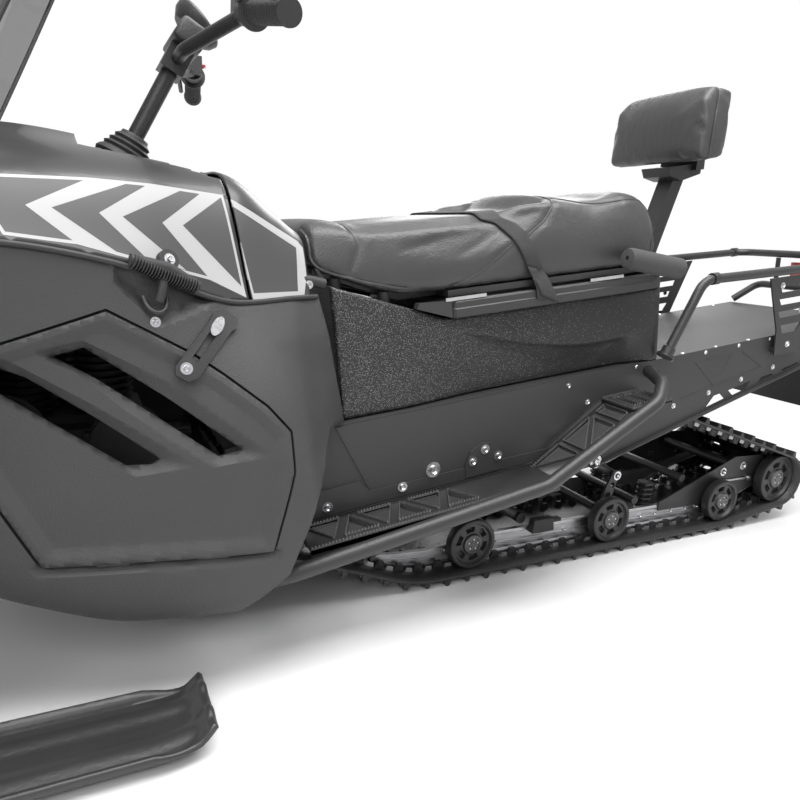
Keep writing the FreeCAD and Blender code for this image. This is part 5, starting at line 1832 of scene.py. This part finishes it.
def cover_height(x, y):
    """The height of the hood's or the tank cover's top over a plan point."""
    top = section(x, SEAM, CREST)
    for k in range(40, 0, -1):
        (y_in, z_in), (y_out, z_out) = profile_point(top, k / 40), profile_point(top, (k - 1) / 40)
        if y <= y_out:
            return z_in + (z_out - z_in) * (y - y_in) / max(y_out - y_in, 1e-6)
    return top[0][1]


tray = grid(24, 18)
for vertex in tray.verts:
    x = 384 + 222 * vertex.co.x
    y = (198 - 40 * vertex.co.x) * vertex.co.y
    vertex.co = mm(x, y, cover_height(x, y) - TRAY_DROP)
both_sides(tray)
facing(tray, INSIDE)
STEM_FOOT, STEM_HOLE = steer(0, 0, -34), 34
under_stem = [f for f in tray.faces if (f.calc_center_median() - STEM_FOOT).length < STEM_HOLE * MM]
bmesh.ops.delete(tray, geom=under_stem, context="FACES")
piece("cockpit_tray", tray, "chassis", "rim_plastic", wall=3)
GAITER = [
    (-14, 44), (0, 48), (6, 44), (10, 39), (15, 41), (20, 34), (25, 36), (30, 29), (35, 31), (41, 24),
    (46, 23),
]
gaiter = lathe(steer(0, 0, -42), stem_up, GAITER, 40)
piece("stem_gaiter", gaiter, "chassis", "grip_rubber", smooth=30, wall=1.5)
TANK_REAR = 257
rim_points = [profile_point(section(TANK_REAR, SEAM, CREST), k / 18) for k in range(19)]
back_outline = [(0, 520), (206, 520)] + [(y * 0.975, z - 5) for y, z in rim_points]
tank_back = bmesh.new()
tank_back.faces.new([tank_back.verts.new(mm(TANK_REAR, y, z)) for y, z in back_outline])
both_sides(tank_back)
facing(tank_back, INSIDE)
piece("tank_back", tank_back, "chassis", "rim_plastic", wall=3)
print("cockpit done")

# %% [markdown]
# ## Windshield and headlamps
# The screen is a sheet curved across and leaning back, whose lower edge follows the hood. The lamps'
# lenses are patches of the hood's own surface over a bright bowl. The grille closes the nose, in a
# lower part on the body and an upper part that goes up with the hood.

# %% Screen
SCREEN_X, SCREEN_Y = [742, 800, 846, 860, 846, 800, 742], [-244, -196, -112, 0, 112, 196, 244]
SCREEN_BASE, SCREEN_TOP, CORNER_DROP = 872, 1266, 70
SCREEN_RISES, SCREEN_BACKS, SCREEN_SCALES = [0, 190, 398], [0, -92, -190], [1, 1 - 20 / 244, 1 - 52 / 244]
KNOTS = list(range(7))


def screen_point(u, z):
    """A point of the screen at a share u across it and a height z."""
    rise = z - SCREEN_BASE
    t = min(SCREEN_RISES[-1], max(0, rise))
    back = eased(SCREEN_RISES, SCREEN_BACKS, t) + (0.48 * (t - rise) if rise < 0 else 0)
    scale = eased(SCREEN_RISES, SCREEN_SCALES, t)
    return mm(eased(KNOTS, SCREEN_X, 6 * u, 1.0) + back, eased(KNOTS, SCREEN_Y, 6 * u, 1.0) * scale, z)


def screen_edge(u):
    """The height of the screen's top edge, which drops at its corners."""
    return SCREEN_TOP - CORNER_DROP * abs(2 * u - 1) ** 5


def screen_foot(u):
    """The height where the screen meets the hood."""
    z = SCREEN_BASE
    for _ in range(6):
        place = screen_point(u, z)
        spot = flank.ray_cast(Vector((place.x, max(0.5 * MM, abs(place.y)), 2)), -UPWARDS)[0]
        z = spot.z / MM - 2 if spot else z - 10
    return z


screen_sheet = grid(56, 26)
feet = {}
for vertex in screen_sheet.verts:
    u, v = vertex.co.x, vertex.co.y
    key = round(u, 4)
    if key not in feet:
        feet[key] = screen_foot(u)
    vertex.co = screen_point(u, feet[key] + (screen_edge(u) - feet[key]) * v)
facing(screen_sheet, mm(400, 0, 1000))
rim_line = [screen_point(k / 60, screen_edge(k / 60)) for k in range(61)]
edge_left = [screen_point(0, feet[0.0] + (screen_edge(0) - feet[0.0]) * k / 12) for k in range(12)]
edge_right = [Vector((p.x, -p.y, p.z)) for p in reversed(edge_left)]
piece("windshield_sheet", screen_sheet, "hood", "screen", smooth=60, wall=4, stands_for=["windshield"])
piece("windshield_trim", tube(edge_left + rim_line + edge_right, 3.6, smooth=False), "hood", "flap_rubber")
screen_screws = bmesh.new()
for u in (0.14, 0.38, 0.62, 0.86):
    spot = screen_point(u, screen_foot(u) + 24)
    add_screw(screen_screws, spot, Vector((spot.x - 0.4, spot.y * 1.2, 0.1)).normalized(), 5)
piece("windshield_screws", screen_screws, "hood", "bright_steel")
print("windshield done")

# %% Headlamps
lens_patch = hull(SEAM, CREST, 1020, 1170, 40, 44)
carve(lens_patch, LAMP, keep_inside=True, plan=True)
both_sides(lens_patch)
facing(lens_patch, INSIDE)
piece("headlamp_lenses", lens_patch, "hood", "lamp_lens", wall=3, stands_for=["headlamps"])
bowl_parts = []
for side in (LEFT, RIGHT):
    for x, y, reach in ((1068, 104, 30), (1112, 80, 24)):
        over = flank.ray_cast(mm(x, y, 1200), -UPWARDS)[0]
        foot = Vector((over.x, side * over.y, over.z)) - mm(0, 0, 52)
        bowl = [(0, 0), (2, 8), (10, 0.6 * reach), (26, reach), (28, reach)]
        bowl_parts.append(lathe(foot, (0.35, 0, 1), bowl, 28))
piece("headlamp_bowls", joined(bowl_parts), "hood", "rail_aluminium", smooth=60)
print("headlamps done")

# %% Nose grille
NOSE_X, NOSE_SPLIT = 1183, 592


def nose_panel(outline, slat_heights):
    """A panel across the nose, given its left outline as (y, z) pairs, with slats at some heights."""
    bm = bmesh.new()
    bm.faces.new([bm.verts.new(mm(NOSE_X, y, z)) for y, z in outline])
    both_sides(bm)
    parts = [bm]
    for z in slat_heights:
        reach = min(66, 34 + 0.55 * min(z - 470, 646 - z))
        parts.append(plate([(1180, z), (1190, z - 3), (1190, z + 1), (1180, z + 4)], -reach, reach))
    return joined(parts)


edge, shoulder, crest = ((y * 0.97, z) for y, z in section(1186, SEAM, CREST))
low_outline = [(0, 471)] + section(1186, FLOOR, HIGH) + [(69, NOSE_SPLIT - 4), (0, NOSE_SPLIT - 4)]
high_outline = [(0, NOSE_SPLIT + 3), (edge[0], NOSE_SPLIT + 3), (edge[0], edge[1] + 3), shoulder, crest]
piece("nose_grille_low", nose_panel(low_outline, range(486, 580, 16)), "chassis", "rim_plastic", smooth=20)
piece("nose_grille_high", nose_panel(high_outline, range(598, 636, 16)), "hood", "rim_plastic", smooth=20)
print("grille done")

# %% [markdown]
# ## Skis, struts and engine
# A ski is a sheet swept along its running line: upturned at the tip, with side lips and two shallow
# channels, a keel below and a saddle for the spindle. A coil spring and a ribbed boot dress each strut.
# The engine only shows through the door's vents, so it is a case, two finned cylinders and two pulleys.

# %% Skis
SKI_RUN = [
    (470, 46), (500, 18), (560, 11), (880, 11), (1190, 11), (1300, 42), (1390, 108), (1436, 172), (1447, 204),
]
SKI_X, SKI_Y, SPINDLE_Z = 950, 440, 118
KINGPIN_TILT = math.radians(12)
SKI_KNOTS = [0.0]
for (xa, za), (xb, zb) in zip(SKI_RUN, SKI_RUN[1:]):
    SKI_KNOTS.append(SKI_KNOTS[-1] + math.hypot(xb - xa, zb - za))


def ski_shape(side):
    """A ski's sheet: narrower to its tip, with lips along its sides and two channels."""
    bm = grid(96, 28)
    for vertex in bm.verts:
        t = vertex.co.x * SKI_KNOTS[-1]
        x, z = (eased(SKI_KNOTS, [p[i] for p in SKI_RUN], t) for i in (0, 1))
        across = 2 * vertex.co.y - 1
        half = 80 - 34 * ramp(x, 1180, 1447) - 14 * (1 - ramp(x, 470, 540))
        lip = 20 * ramp(abs(across), 0.86, 1.0) ** 1.5 * ramp(x, 480, 560) * (1 - ramp(x, 1180, 1330))
        channel = math.cos(math.pi * min(1, abs(abs(across) - 0.45) / 0.3))
        vertex.co = mm(x, side * SKI_Y + across * half, z + 3 + lip + 2.5 * channel)
    return bm


for side, body in ((LEFT, "ski_left"), (RIGHT, "ski_right")):
    sheet = ski_shape(side)
    middle = side * SKI_Y
    facing(sheet, mm(SKI_X, middle, 400))
    piece(body + "_sheet", sheet, body, "ski_plastic", smooth=50, wall=8, stands_for=[body])
    saddle = [
        plate([(840, 22), (1060, 22), (976, 132), (924, 132)], middle - 19.5, middle - 12),
        plate([(840, 22), (1060, 22), (976, 132), (924, 132)], middle + 12, middle + 19.5),
        plate([(600, 12), (640, 0.5), (1120, 0.5), (1170, 12)], middle - 9, middle + 9),
        plate([(860, 20), (1040, 20), (1030, 30), (870, 30)], middle - 40, middle + 40),
        lathe(mm(SKI_X, middle - 34, SPINDLE_Z), LEFTWARDS, [(0, 0), (0, 9), (68, 9), (68, 0)], 6),
    ]
    piece(body + "_saddle", joined(saddle), body, "ski_plastic", smooth=30)
print("skis done")

# %% Strut springs and boots
BOOT = repeated([(0, 18)], [(2, 27), (7, 22)], 10, 7, [(72, 27), (74, 18)])


def kingpin(distance, side):
    """A point on the steering axis of a ski."""
    lean, rise = distance * math.sin(KINGPIN_TILT), distance * math.cos(KINGPIN_TILT)
    return mm(SKI_X - lean, side * SKI_Y, SPINDLE_Z + rise)


strut_parts = []
for side, body in ((LEFT, "ski_left"), (RIGHT, "ski_right")):
    strut_parts.append(coil(kingpin(140, side), kingpin(326, side), 31, 3.6, 8))
    boot = lathe(kingpin(27, side), kingpin(1, side) - kingpin(0, side), BOOT, 28)
    piece(body + "_boot", boot, body, "grip_rubber", smooth=30)
piece("strut_springs", joined(strut_parts), "chassis", "steel_black", smooth=40)
print("struts done")

# %% Engine behind the door's vents
CASE_BLOCKS = [
    ((640, -10, 262), (300, 260, 130)), ((560, 110, 300), (120, 60, 90)), ((640, 0, 392), (230, 150, 14)),
]
FIN, HEAD = [(4, 56), (7, 56), (8, 42), (16, 42)], [(126, 46), (140, 30), (150, 10), (150, 0)]
CYLINDER = repeated([(0, 0), (0, 50)], FIN, 13, 9, HEAD)
case = bmesh.new()
for centre, size in CASE_BLOCKS:
    add_block(case, Matrix.Translation(mm(*centre)), size, 0.9)
engine_parts = [case] + [lathe(mm(x, 0, 406), UPWARDS, CYLINDER, 28) for x in (580, 705)]
for x, z, reach in ((545, 372, 62), (742, 384, 78)):
    pulley = [(0, 0), (0, reach), (6, reach), (20, 0.35 * reach), (28, reach), (34, reach), (46, 20), (48, 0)]
    engine_parts.append(lathe(mm(x, 120, z), LEFTWARDS, pulley, 36))
engine_parts.append(tube([mm(580, -60, 440), mm(640, -120, 430), mm(760, -110, 350), mm(800, 0, 300)], 24))
piece("engine_details", joined(engine_parts), "chassis", "engine_metal", smooth=35,
      stands_for=["engine_block"])
print("engine done")
